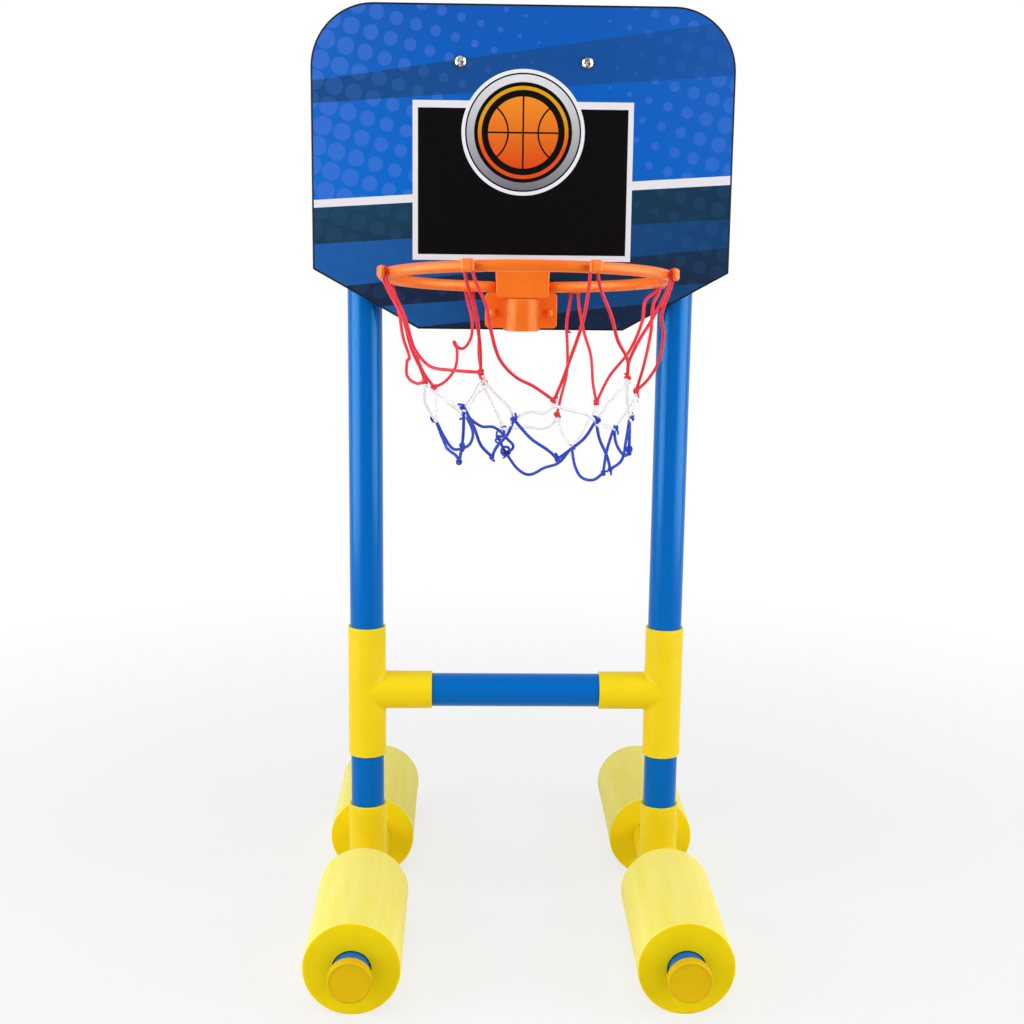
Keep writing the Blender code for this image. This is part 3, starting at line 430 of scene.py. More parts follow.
def travelled(line):
    """The distance along a line of points, from 0 at the first."""
    return np.concatenate([[0], np.linalg.norm(np.diff(line, axis=0), axis=1).cumsum()])


def skin(points, look=0):
    """Four-sided faces over a grid whose columns close on themselves. Its UV map is the distance along the
    first column and round the widest row, in metres."""
    rows, columns = points.shape[:2]
    closed = np.concatenate([points, points[:, :1]], 1)
    widest = np.linalg.norm(np.diff(closed, axis=1), axis=2).sum(1).argmax()
    i, j = np.meshgrid(np.arange(rows - 1), np.arange(columns), indexing="ij")
    i, j = np.stack([i, i, i + 1, i + 1], -1), np.stack([j, j + 1, j + 1, j], -1)
    quads = (i * columns + j % columns).reshape(-1, 4)
    uv = np.stack([travelled(closed[widest])[j], travelled(points[:, 0])[i]], -1)
    return points.reshape(-1, 3), quads, uv.reshape(-1, 2), np.full(len(quads), look)


def moved(skins, at, turn=np.eye(3)):
    """The same skins, turned by a matrix and set at a place."""
    return [(points @ np.transpose(turn) + at, *rest) for points, *rest in skins]


def welded(name, skins, sharp):
    """One mesh out of skins: welded along their shared rows and at their poles, facing outwards, and smooth
    but for the edges that bend by more than the sharp angle."""
    starts = np.cumsum([0] + [len(s[0]) for s in skins])
    quads = np.concatenate([s[1] + start for s, start in zip(skins, starts)])
    mesh = bpy.data.meshes.new(name)
    mesh.from_pydata(np.concatenate([s[0] for s in skins]).tolist(), [], quads.tolist())
    mesh.uv_layers.new(name="surface").data.foreach_set("uv", np.concatenate([s[2] for s in skins]).ravel())
    mesh.polygons.foreach_set("material_index", np.concatenate([s[3] for s in skins]))
    form = bmesh.new()
    form.from_mesh(mesh)
    bmesh.ops.remove_doubles(form, verts=form.verts, dist=WELD)
    bmesh.ops.dissolve_degenerate(form, edges=form.edges, dist=WELD / 4)
    bmesh.ops.recalc_face_normals(form, faces=form.faces)
    form.to_mesh(mesh)
    form.free()
    mesh.shade_smooth()
    mesh.set_sharp_from_angle(angle=radians(sharp))
    return mesh


def piece(name, node_name, slot, skins, body="frame", sharp=40):
    """One object out of skins, in its slot's looks, that rides its body in place of its CAD node."""
    mesh = welded(name, moved(skins, (0, FRAME_Y, 0)), sharp)
    for look in LOOKS[slot]:
        mesh.materials.append(look)
    made = added(name, mesh)
    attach(made, body)
    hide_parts(node_name)
    return made


def rounded(corners, radii, steps=5, closed=True):
    """The points and outward normals of a line through corners, counterclockwise, where each corner becomes
    an arc that meets its two edges, with one more point on either edge so that the flats stay flat."""
    corners = np.asarray(corners, float)
    radii = np.broadcast_to(np.asarray(radii, float), len(corners))[:, None]
    into, away = unit(corners - np.roll(corners, 1, 0)), unit(np.roll(corners, -1, 0) - corners)
    if not closed:
        into[0], away[-1] = away[0], into[-1]
    bend = np.arctan2(into[:, 0] * away[:, 1] - into[:, 1] * away[:, 0], (into * away).sum(1))[:, None]
    across = (np.sign(bend) * np.stack([-into[:, 1], into[:, 0]], 1))[:, None]
    begin = (corners - into * radii * np.tan(abs(bend) / 2))[:, None]
    angle = (abs(bend) * np.linspace(0, 1, steps + 1))[..., None]
    into, away, radii = into[:, None], away[:, None], radii[:, None]
    arc = begin + radii * (np.sin(angle) * into + (1 - np.cos(angle)) * across)
    points = np.concatenate([arc[:, :1] - 0.25 * radii * into, arc, arc[:, -1:] + 0.25 * radii * away], 1)
    way = np.cos(angle) * into + np.sin(angle) * across
    way = np.concatenate([way[:, :1], way, way[:, -1:]], 1).reshape(-1, 2)
    return points.reshape(-1, 2), np.stack([way[:, 1], -way[:, 0]], 1)


def box(half_w, low, high):
    """An upright box's four corners, counterclockwise from its lower left."""
    return [(-half_w, low), (half_w, low), (half_w, high), (-half_w, high)]


def around(profile, sides, at=(0, 0, 0), along=Z, swell=0.0):
    """A profile of (radius, distance) rows turned about an axis: each point lies its radius, plus any swell,
    out from the axis at its column's angle, and its distance along it."""
    radius, distance = np.asarray(profile, float).T
    across = X if abs(along[0]) < 0.9 else Y
    out = (radius[:, None] + swell)[..., None] * turned(circle(sides), across, np.cross(along, across))
    return distance[:, None, None] * along + out + at


def ring_of(corners, radii):
    """A closed profile of (radius, distance) with rounded corners, its first row given again at the end."""
    profile, _ = rounded(corners, radii)
    return np.concatenate([profile, profile[:1]])


def slab_rows(front, back, edge):
    """Rows of a slab with rounded edges: how far each lies in from the outline, and where it is from front to
    back."""
    a = np.linspace(0, pi / 2, 6)
    way = np.sign(back - front)
    near = np.stack([edge * (1 - np.sin(a)), front + way * edge * (1 - np.cos(a))], 1)
    far = np.stack([near[:, 0], back + front - near[:, 1]], 1)[::-1]
    inset = 1.3 * edge
    walls = [[0, front + way * inset], [0, back - way * inset]]
    return np.concatenate([[[inset, front]], near, walls, far, [[inset, back]]])


def slab(outline, normals, rows, ways=(X, Y, Z), at=(0, 0, 0), looks=(0, 0, 0)):
    """An outline in a plane, drawn in along its normals by each row's first value and carried to its second
    along the plane's own normal, with a pole at the middle of both flat ends."""
    across, along, upright = ways
    line = outline[None] - rows[:, 0, None, None] * normals[None]
    grid = line[..., :1] * across + line[..., 1:] * upright + rows[:, 1, None, None] * along + at
    front, back = (np.broadcast_to(grid[i].mean(0), grid[i].shape)[None] for i in (0, -1))
    grids = np.concatenate([front, grid[:1]]), grid, np.concatenate([grid[-1:], back])
    return [skin(points, look) for points, look in zip(grids, looks)]


def carried(path):
    """Two directions across each point of a path, handed on from point to point so that they don't twist."""
    tangent = unit(np.gradient(path, axis=0))
    side = np.empty_like(path)
    last = Z - (Z @ tangent[0]) * tangent[0]
    if np.linalg.norm(last) < 1e-3:
        last = X - (X @ tangent[0]) * tangent[0]
    for i, t in enumerate(tangent):
        last = last - (last @ t) * t
        side[i] = last = last / np.linalg.norm(last)
    return tangent, side, np.cross(tangent, side)


def tube(path, radius, sides, lobes=0, depth=0.0, lay=1.0):
    """A round bar along a path, with half-round ends: each point lies a radius out from the path at its
    column's angle. The radius may change along the path. With lobes, it also swells and shrinks round the
    section, and the lobes turn once in each lay."""
    tangent, side, other = carried(path)
    radius = np.broadcast_to(radius, len(path))
    a = np.linspace(0, pi / 2, 5)[:-1]
    rows = np.concatenate([np.zeros(4, int), np.arange(len(path)), np.full(4, len(path) - 1)])
    shift = np.concatenate([-radius[0] * np.cos(a), np.zeros(len(path)), radius[-1] * np.cos(a[::-1])])
    share = np.concatenate([np.sin(a), np.ones(len(path)), np.sin(a[::-1])])
    angle = circle(sides)
    wave = 1 + depth * (np.cos(lobes * (angle - 2 * pi * travelled(path)[rows][:, None] / lay)) - 1)
    out = ((radius[rows] * share)[:, None] * wave)[..., None]
    centre = path[rows] + shift[:, None] * tangent[rows]
    return centre[:, None] + out * turned(angle, side[rows][:, None], other[rows][:, None])


# Pipes
def pipe(name, node_name, start, end, at, direction):
    """A cut length of pipe: its wall's section, with eased cut edges, turned about the pipe's axis."""
    section = ring_of([(BORE_R, start), (PIPE_R, start), (PIPE_R, end), (BORE_R, end)], CUT_EDGE)
    piece(name, node_name, "blue_pipe", [skin(around(section, PIPE_SIDES, at, direction))])


# Fittings
def blended(p):
    """How far points lie outside the union of a tee's two equal pipes, the run along Y and the branch along
    +Z. Where the walls meet at an angle, the two distances run into each other over the fillet."""
    x, y, z = np.moveaxis(p, -1, 0)
    run, branch = np.hypot(x, z), np.hypot(x, y)
    width = TEE_FILLET * (1 - (x * x / np.maximum(run * branch, 1e-12)) ** 2) + 1e-12
    run, branch = run - FITTING_R, np.maximum(branch - FITTING_R, -z)
    near = np.clip(width - abs(run - branch), 0, None) / width
    return np.minimum(run, branch) - near * near * width / 4


def found(start, way):
    """How far along each ray the tee's surface lies, by halving the reach between 0.4 and 1.9 of its
    radius."""
    low, high = np.full(way.shape[:-1], 0.4 * FITTING_R), np.full(way.shape[:-1], 1.9 * FITTING_R)
    for _ in range(40):
        middle = (low + high) / 2
        inside = blended(start + middle[..., None] * way) < 0
        low, high = np.where(inside, middle, low), np.where(inside, high, middle)
    return (low + high) / 2


def arm(axis, side, other, reach, stop, slope):
    """One arm of a tee as one skin. Its outer rows go from the seam, where it meets the other arms along the
    given slope, to its mouth, each point on the blended wall straight out from the arm's axis. Its inner rows
    come back down the socket and the bore to the inner seam."""
    out = turned(circle(PIPE_SIDES), side, other)
    ray = out + slope[:, None] * axis
    begin = found(np.zeros_like(ray), ray) * slope
    outer_end = reach - 2 * MOUTH_EDGE
    along = begin + np.linspace(0, 1, 30)[:, None] ** 1.4 * (outer_end - begin)
    centre = along[..., None] * axis
    outer = centre + found(centre, np.broadcast_to(out, centre.shape))[..., None] * out
    corners = [(FITTING_R, outer_end), (FITTING_R, reach), (MOUTH_BORE_R, reach), (MOUTH_BORE_R, stop),
               (BORE_R, stop)]
    mouth, _ = rounded(corners, [0, MOUTH_EDGE, MOUTH_INNER_EDGE, 0, 0], closed=False)
    mouth = mouth[8:]  # without the eight copies of its open end
    mouth = around(mouth, PIPE_SIDES) @ np.array([side, other, axis])
    inner = (BORE_R * slope)[:, None] * axis + BORE_R * out
    return skin(np.concatenate([outer, mouth, inner[None]]))


def tee_skins():
    """A tee's three arms about its middle, the run along Y and the branch along +Z. They share their seams'
    points, which lie on planes at 45 degrees."""
    rise = np.sin(circle(PIPE_SIDES))
    run_slope = np.maximum(rise, 0)
    return [
        arm(Z, X, Y, BRANCH_REACH, BRANCH_STOP, abs(rise)),
        arm(Y, X, Z, RUN_HALF, RUN_STOP, run_slope),
        arm(-Y, X, Z, RUN_HALF, RUN_STOP, run_slope),
    ]


def elbow_skins(inward):
    """An elbow as one skin: its section's rows, each a radius and a distance along the bent centreline, which
    runs up one leg, round a quarter circle and out along the other."""
    leg, quarter = BRANCH_REACH - ELBOW_BEND, ELBOW_BEND * pi / 2
    length = 2 * leg + quarter
    bent = np.linspace(leg, leg + quarter, BEND_ROWS)
    stop = length - SOCKET_DEPTH
    corners = [(FITTING_R, 0), *((FITTING_R, d) for d in bent), (FITTING_R, length), (MOUTH_BORE_R, length),
               (MOUTH_BORE_R, stop), (BORE_R, stop), *((BORE_R, d) for d in bent[::-1]),
               (BORE_R, SOCKET_DEPTH), (MOUTH_BORE_R, SOCKET_DEPTH), (MOUTH_BORE_R, 0)]
    radii = ([MOUTH_EDGE] + [0] * BEND_ROWS + [MOUTH_EDGE, MOUTH_INNER_EDGE] + [0] * (BEND_ROWS + 4)
             + [MOUTH_INNER_EDGE])
    radius, distance = ring_of(corners, radii).T
    bend = np.clip((distance - leg) / ELBOW_BEND, 0, pi / 2)
    rise = np.minimum(distance, leg) - BRANCH_REACH + ELBOW_BEND * np.sin(bend)
    run = ELBOW_BEND * (1 - np.cos(bend)) + np.maximum(distance - leg - quarter, 0)
    centre = run[:, None] * inward * X + rise[:, None] * Z
    out = turned(circle(PIPE_SIDES), turned(bend, inward * X, -Z)[:, None], Y)
    return [skin(centre[:, None] + radius[:, None, None] * out)]


# Skids: on each side a base tee, and front and rear a pipe, a float and a cap
def dented(distance, seed):
    """How far a float's skin lies inside a true cylinder: three waves round it that lean a little along
    it."""
    along, turn = distance[:, None] / MM, circle(FLOAT_SIDES)
    waves = np.sin(along / 47 + 3 * turn + seed) + 0.6 * np.sin(along / 35 - 7 * turn + 2 * seed)
    waves = waves + 0.35 * np.sin(along / 61 + 12 * turn + 3 * seed)
    return -FLOAT_DENT * (1.95 + waves)


def float_piece(end, side, at, direction, seed):
    """A foam float: its skin between two rounded edges, dented a little except along these edges, then both
    cut faces and the bore. A cut face takes over halfway round its edge."""
    bore = PIPE_R + FLOAT_BORE_SLACK
    edge, _ = rounded([(bore, FLOAT_END), (FLOAT_R, FLOAT_END), (FLOAT_R, FLOAT_START), (bore, FLOAT_START)],
                      [0, FLOAT_EDGE, FLOAT_EDGE, 0], 6, closed=False)
    corner = len(edge) // 2
    first, last = edge[corner - 1], edge[corner]
    wall = np.stack([np.full(FLOAT_ROWS, FLOAT_R), np.linspace(first[1], last[1], FLOAT_ROWS)], 1)
    shell = np.concatenate([edge[corner - 5:corner], wall[1:-1], edge[corner:corner + 5]])
    from_end = np.minimum(shell[:, 1] - FLOAT_START, FLOAT_END - shell[:, 1])
    ease = np.clip((from_end - FLOAT_EDGE) / FLOAT_EASE, 0, 1)[:, None]
    grid = around(shell, FLOAT_SIDES, at, direction, dented(shell[:, 1], seed) * ease)
    dish = np.linspace(0, 1, 12)[:, None]
    skins = [skin(grid)]
    rims = edge[corner - 8:corner - 4], edge[corner + 4:corner + 8][::-1]
    for start, rows in zip((edge[0], edge[-1]), rims):
        flat = start * (1 - dish) + rows[0] * dish
        skins.append(skin(around(np.concatenate([flat, rows[1:]]), FLOAT_SIDES, at, direction), 1))
    skins.append(skin(around([(bore, FLOAT_START), (bore, FLOAT_END)], FLOAT_SIDES, at, direction), 1))
    own = f"float_{end}_{side}"
    piece("foam_" + own, own, "yellow_foam", skins, own)


def cap_piece(end, side, at, direction):
    """A push-on cap: a cup's section turned about the pipe, with a soft outer edge and a face that is a
    little dished."""
    flat_r, inside = CAP_R - CAP_ROUND, SKID_REACH - CAP_FACE
    corners = [(0, SKID_REACH - CAP_DISH), (flat_r - 1 * MM, SKID_REACH - CAP_DISH), (flat_r, SKID_REACH),
               (CAP_R, SKID_REACH), (CAP_R, CAP_START), (MOUTH_BORE_R, CAP_START), (MOUTH_BORE_R, inside),
               (0, inside)]
    radii = [0, 1 * MM, 0.8 * MM, 1.4 * MM, 0.5 * MM, MOUTH_INNER_EDGE, 0.3 * MM, 0]
    profile, _ = rounded(corners, radii, closed=False)
    piece(f"yellow_cap_{end}_{side}", f"end_cap_{end}_{side}", "yellow_cap",
          [skin(around(profile, PIPE_SIDES, at, direction))])


TEE = tee_skins()
for side, sign in SIDES.items():
    middle = (sign * SPREAD_HALF, 0, SKID_Z)
    piece(f"yellow_base_tee_{side}", f"base_tee_{side}", "yellow_fitting", moved(TEE, middle))
    for end, way in ENDS.items():
        own = f"skid_pipe_{end}_{side}"
        pipe("blue_" + own, own, RUN_STOP + FIT, SKID_PIPE_END, middle, way * Y)
        float_piece(end, side, middle, way * Y, 2 * sign + way)
        cap_piece(end, side, middle, way * Y)

# Uprights and the pieces that join them
for side, sign in SIDES.items():
    foot, knee, top = ((sign * SPREAD_HALF, 0, z) for z in (SKID_Z, MID_TEE_Z, RAIL_Z))
    riser, upright = f"lower_riser_{side}", f"upright_{side}"
    pipe("blue_" + riser, riser, BRANCH_STOP + FIT, MID_TEE_Z - SKID_Z - RUN_STOP - FIT, foot, Z)
    # A middle tee stands up and its branch points inwards
    stood = ((0, 0, -sign), (-sign, 0, 0), (0, 1, 0))
    piece(f"yellow_middle_tee_{side}", f"mid_tee_{side}", "yellow_fitting", moved(TEE, knee, stood))
    pipe("blue_" + upright, upright, RUN_STOP + FIT, RAIL_Z - MID_TEE_Z - BRANCH_STOP - FIT, knee, Z)
    piece(f"yellow_top_elbow_{side}", f"top_elbow_{side}", "yellow_fitting", moved(elbow_skins(-sign), top))

cross_half = SPREAD_HALF - BRANCH_STOP - FIT
pipe("blue_crossbar", "crossbar", -cross_half, cross_half, (0, 0, MID_TEE_Z), X)
pipe("blue_top_rail", "top_rail", -cross_half, cross_half, (0, 0, RAIL_Z), X)


# Backboard
def backboard():
    """The board's outline with its two big round corners and two sloping ones, as a slab with eased edges.
    The print stops 1.4 mm short of the edge."""
    w, slope_x, shoulder = BOARD_HALF_W, BOARD_HALF_W - BOARD_CHAMFER_W, BOARD_BOTTOM_Z + BOARD_CHAMFER_H
    corners = [(-slope_x, BOARD_BOTTOM_Z), (slope_x, BOARD_BOTTOM_Z), (w, shoulder), (w, BOARD_TOP_Z),
               (-w, BOARD_TOP_Z), (-w, shoulder)]
    outline = rounded(corners, [BOARD_LOW_CORNER] * 3 + [BOARD_CORNER] * 2 + [BOARD_LOW_CORNER], 24)
    rows = slab_rows(BOARD_FRONT_Y, BOARD_BACK_Y, BOARD_EDGE)
    piece("printed_backboard", "backboard", "printed_board", slab(*outline, rows, looks=(0, 1, 2)))


backboard()


# Bolts, nuts and rivets
def dome(radius, height, seat):
    """A dome's profile, from its top down to its rim: a quarter of an ellipse."""
    a = np.linspace(0, pi / 2, 13)
    return np.stack([radius * np.sin(a), seat + height * np.cos(a)], 1)


def bolt_and_nut(side, sign):
    """A dome-head bolt, its thread a row of ridges where it shows past the nut, and the nut on it."""
    at = (sign * BOLT_HALF_SPAN, 0, RAIL_Z)
    nut_front = PIPE_R + FIT
    seat, end = -BOARD_FRONT_Y + FIT, nut_front + NUT_T + BOLT_END
    thread = THREAD_SHOWS - end
    under = [(BOLT_HEAD_R, seat + 0.1 * MM), (BOLT_HEAD_R - 0.3 * MM, seat), (BOLT_R, seat), (BOLT_R, thread)]
    ridges = [(BOLT_R - THREAD_DEPTH * (k % 2), thread - k * THREAD_PITCH / 2) for k in range(1, 8)]
    tip = [(BOLT_R - 0.4 * MM, -end), (0, -end)]
    profile = np.concatenate([dome(BOLT_HEAD_R, BOLT_DOME, seat + 0.25 * MM), under, ridges, tip])
    profile[:, 1] = np.minimum(profile[:, 1], seat + BOLT_DOME)
    bolt = [skin(around(profile, SMALL_SIDES, at, -Y))]
    piece(f"steel_bolt_{side}", f"board_bolt_{side}", "bright_steel", bolt)
    hexagon = rounded(NUT_R * turned(circle(6), X, Y)[:, :2], 0.25 * MM)
    nut = slab(*hexagon, slab_rows(nut_front, nut_front + NUT_T, 0.35 * MM), at=at)
    piece(f"steel_nut_{side}", f"board_nut_{side}", "bright_steel", nut)


def rivet(side, sign):
    """A moulded rivet: a dome in front of the bracket's plate, its shank, and a swelled tail behind the
    board."""
    at = (sign * RIVET_HALF_SPAN, 0, PLATE_BOTTOM_Z + RIVET_RISE)
    seat, tail = -PLATE_FRONT_Y + FIT, -BOARD_BACK_Y - FIT
    shank, _ = rounded([(RIVET_HEAD_R, seat), (RIVET_R, seat), (RIVET_R, tail), (RIVET_TAIL_R, tail),
                        (RIVET_R, tail - RIVET_TAIL), (0, tail - RIVET_TAIL)],
                       [0, 0, 0, 0.3 * MM, 0.4 * MM, 0], closed=False)
    profile = np.concatenate([dome(RIVET_HEAD_R, RIVET_DOME, seat), shank])
    piece(f"orange_rivet_{side}", f"bracket_rivet_{side}", "orange_plastic",
          [skin(around(profile, SMALL_SIDES, at, -Y))])


for side, sign in SIDES.items():
    bolt_and_nut(side, sign)
    rivet(side, sign)


# Rim bracket
def bracket():
    """A plate with rounded corners, an upright socket in front of it, and the neck that joins them."""
    plate = rounded(box(PLATE_HALF_W, PLATE_BOTTOM_Z, PLATE_BOTTOM_Z + PLATE_H), PLATE_CORNER, 8)
    skins = slab(*plate, slab_rows(PLATE_FRONT_Y, PLATE_BACK_Y, 0.6 * MM))
    neck_low, bore = PLATE_BOTTOM_Z + NECK_RISE, PEG_R + FIT
    neck = rounded(box(NECK_HALF_W, neck_low, neck_low + NECK_H), 1 * MM)
    skins += slab(*neck, slab_rows(PEG_Y + PEG_R + 0.8 * MM, PLATE_FRONT_Y + 1 * MM, 0.3 * MM))
    socket = ring_of([(bore, 0), (SOCKET_R, 0), (SOCKET_R, SOCKET_H), (bore, SOCKET_H)], 0.5 * MM)
    skins.append(skin(around(socket, 96, (0, PEG_Y, PLATE_BOTTOM_Z))))
    piece("orange_rim_bracket", "rim_bracket", "orange_plastic", skins)


bracket()


# Rim
def ring_place(p):
    """Points of the ring's own plane, its front towards -Y, tilted up at the front and set in place. The ring
    hangs a little lower towards its back, by RING_SAG there."""
    c, s = cos(RING_TILT), sin(RING_TILT)
    x, y, z = np.moveaxis(p, -1, 0)
    return np.stack([x, RING_Y + c * y + s * z, RING_Z - s * y + c * z - RING_SAG * (1 + y / RING_R) / 2], -1)


def ring_path():
    """The ring's centreline: a straight tail beside the block, a quarter bend, the great arc, and the same
    mirrored."""
    tail_x = BLOCK_HALF_W - SINK + RING_TUBE_R
    turn_in = tail_x + RING_BEND
    half = pi - turn_in / RING_R
    arc = RING_R * turned(np.linspace(-half, half, 241), -Y, X)
    bend_y = RING_R * cos(turn_in / RING_R) + RING_BEND
    bend = RING_BEND * turned(np.linspace(3 * pi / 2, pi, 13)[1:], X, Y) + (turn_in, bend_y, 0)
    tail = tail_x * X + (bend_y + RING_TAIL * np.linspace(0.2, 1, 5))[:, None] * Y
    end = np.concatenate([bend, tail])
    return np.concatenate([end[::-1] * (-1, 1, 1), arc, end])


def hook_ways(number):
    """A hook's direction out of the ring, and the one across it to the right seen from outside."""
    a = 2 * pi * (number - 1 / 2) / HOOKS
    return turned(a, -Y, X), turned(a, X, Y)


def rim():
    """The ring as a round bar along its centreline, which thickens towards its back, eight hooks, and the
    block with its hollow peg. A hook is a neck that flares into both ring and head, and a head that is a
    rounded square button."""
    line = ring_path()
    bar_r = RING_TUBE_R + RING_SWELL * np.clip(1 + line[:, 1] / RING_R, 0, 2) / 2
    skins = [skin(ring_place(tube(line, bar_r, 28)))]
    head_in = RING_TUBE_R + HOOK_GROOVE
    d = np.linspace(0, 1, 15)
    flare = HOOK_NECK_R + HOOK_FLARE * np.abs(2 * d - 1) ** 5
    neck = np.stack([flare, RING_TUBE_R - 0.9 * MM + d * (HOOK_GROOVE + 1.3 * MM)], 1)
    neck = np.concatenate([[(0, neck[0, 1])], neck, [(0, neck[-1, 1])]])
    button = rounded(box(HOOK_HEAD_W / 2, -HOOK_HEAD_H / 2, HOOK_HEAD_H / 2), HOOK_CORNER, 6)
    a = np.linspace(0, pi / 2, 9)
    inner = 0.6 * MM * np.stack([1 - np.sin(a[::2]), 1 - np.cos(a[::2])], 1) + (0, head_in)
    outer = np.stack([2 * MM * (1 - np.cos(a)), head_in + HOOK_HEAD_T - 1.9 * MM * (1 - np.sin(a))], 1)
    head_rows = np.concatenate([[[1 * MM, head_in]], inner, outer])
    for number in range(1, HOOKS + 1):
        out, across = hook_ways(number)
        hook = slab(*button, head_rows, (across, out, Z), RING_R * out)
        hook.append(skin(around(neck, 20, RING_R * out, out)))
        skins += [(ring_place(points), *rest) for points, *rest in hook]
    block = box(BLOCK_HALF_W, 0, BLOCK_H)
    block[:2] = box(BLOCK_HALF_W - BLOCK_TAPER, 0, BLOCK_H)[:2]
    block = rounded(block, [BLOCK_CORNER, BLOCK_CORNER, 1.2 * MM, 1.2 * MM], 8)
    back = PLATE_FRONT_Y - FIT
    skins += slab(*block, slab_rows(back - BLOCK_D, back, 1 * MM), at=(0, 0, BLOCK_BOTTOM_Z))
    bore, root = PEG_R - PEG_WALL, 2 * MM
    peg = [(bore, -PEG_LENGTH), (PEG_R, -PEG_LENGTH), (PEG_R, root), (bore, root)]
    peg = ring_of(peg, mm(0.5, 0.8, 0, 0))
    skins.append(skin(around(peg, PIPE_SIDES, (0, PEG_Y, BLOCK_BOTTOM_Z))))
    piece("orange_rim", "rim", "orange_plastic", skins, "rim")


rim()

# Net. Its places are (degrees from the front towards the right, percent of the ring's radius, percent of the
# drop), about the upright axis through the ring's middle. The knots were placed as they hang
RED_KNOTS = {
    "A": (-66, 77, 50), "B": (-116, 73, 58), "C": (-23, 82, 42), "D": (13, 75, 55), "E": (156, 64, 74),
    "F": (128, 69, 66), "G": (61, 79, 47), "H": (88, 79, 56), "I": (-157, 73, 58),
}
RED_JOINT = (157.3, 88, 32)  # where two lengths of red cord are joined
# From knot to knot over a hook, with the hook's number counted from the front towards the right
RED_STRANDS = [
    ("C", [(-22, 88, 28), (-22, 97, 13)], 8,
     [(-17, 98, 11), (-16, 92, 23), (-13, 85, 36), (-6, 80, 44), (2, 78, 48)], "D"),
    ("D", [(16, 79, 46), (18, 85, 36), (21, 96, 16)], 1, [(34, 96, 16), (41, 90, 27), (54, 84, 38)], "G"),
    ("G", [(56, 83, 39), (57, 89, 29), (63, 95, 18)], 2,
     [(70, 98, 16), (80, 97, 28), (84, 94, 41), (86, 87, 50)], "H"),
    ("H", [(88, 84, 43), (96, 90, 28), (105, 96, 14)], 3,
     [(114, 97, 13), (111, 92, 23), (113, 84, 38), (124, 76, 53)], "F"),
    ("F", [(135, 74, 57), (141, 81, 43), (148, 87, 31)], 4,
     [(158, 90, 28), (156, 84, 40), (154, 77, 52), (155, 70, 64)], "E"),
    ("I", [(-156, 80, 46), (-158, 88, 31)], 5,
     [(-155, 90, 27), (-152, 84, 36), (-147, 83, 40.5), (-144.2, 84, 39.4), (-142.4, 84.5, 36.8),
      (-143.6, 83.5, 40.1), (-142.7, 81, 44.1), (-139, 77, 50), (-129, 74, 56)], "B"),
    ("B", [(-109, 78, 49), (-109, 86, 35), (-110, 92, 23)], 6,
     [(-106, 95, 18), (-101, 89, 32), (-99, 84, 41), (-88, 84, 43), (-86, 84, 49), (-78, 79, 52)], "A"),
    ("A", [(-65, 80, 45), (-66, 87, 34), (-65, 94, 19)], 7,
     [(-63, 94, 20), (-62, 87, 34), (-54, 83, 41), (-40, 82, 42), (-30, 82, 42)], "C"),
]
# A knot's place, and by which places its strands come down to it from the knots above
WHITE_KNOTS = {
    "AB": ((-100, 65, 73), {"B": [(-111, 69, 66)], "A": [(-86, 71, 63)]}),
    "AC": ((-37, 72, 60), {"A": [(-53, 74, 57)], "C": [(-29, 76, 52)]}),
    "BI": ((-139, 65, 74), {"I": [(-151, 71, 64)], "B": [(-125, 69, 66)]}),
    "CD": ((-8, 69, 65), {"C": [(-16, 76, 53), (-11, 72, 58)], "D": [(9, 72, 61), (-1, 71, 61)]}),
    "IE": ((-167, 60, 82), {"E": [(163, 61, 81), (176, 61, 81)], "I": [(-161, 66, 70)]}),
    "EF": ((139, 56, 90), {"F": [(132, 61, 80)], "E": [(149, 59, 84)]}),
    "DG": ((44, 68, 67), {"D": [(22, 72, 60), (35, 70, 63)], "G": [(52, 73, 57)]}),
    "HF": ((96, 65, 76), {"H": [(93, 74, 66)], "F": [(121, 65, 73), (109, 63, 76)]}),
    "GH": ((80, 75, 69), {"G": [(70, 75, 57)], "H": [(85, 78, 64)]}),
}
BLUE_KNOTS = {
    "BI-AB": ((-127, 56, 90), {"BI": [(-142, 60, 83), (-137, 57, 88)],
                               "AB": [(-108, 60, 83), (-116, 57, 89)]}),
    "AB-AC": ((-56, 56, 89), {"AB": [(-103, 60, 83), (-67, 57, 85.2), (-60, 56, 86.7)],
                              "AC": [(-42, 65, 72), (-48, 60, 81)]}),
    "AC-CD": ((-24, 59, 84), {"AC": [(-32, 68, 70), (-30, 62, 79)], "CD": [(-12, 65, 72), (-20, 61, 79)]}),
    "CD-DG": ((21, 58, 85), {"CD": [(2, 64, 74), (15, 61, 81)], "DG": [(38, 64, 75), (30, 61, 80)]}),
    "DG-GH": ((74, 63, 94), {"DG": [(52, 64, 76), (66, 63, 87)], "GH": [(78, 73, 80), (78, 70, 90)]}),
    "GH-HF": ((86, 75, 87), {"GH": [(82, 75, 78)], "HF": [(95, 67, 84), (91, 72, 89)]}),
    "HF-EF": ((90, 57, 98), {"HF": [(95, 60, 87)], "EF": [(132, 52, 98), (119, 49, 103), (103, 52, 103)]}),
    "EF-IE": ((-167, 54, 94), {"EF": [(148, 51, 98), (160, 50, 101), (174, 49, 105), (-178, 50, 103)],
                               "BI": [(-150, 61, 80), (-160, 61, 81), (-169, 57, 87), (-173, 54, 91)]}),
    "IE-BI": ((-162, 58, 86), {"IE": [(-166, 58, 85)], "EF-IE": [(-164, 55, 90)]}),
}
UNKNOTTED = "AB-AC"  # a curl alone ends it
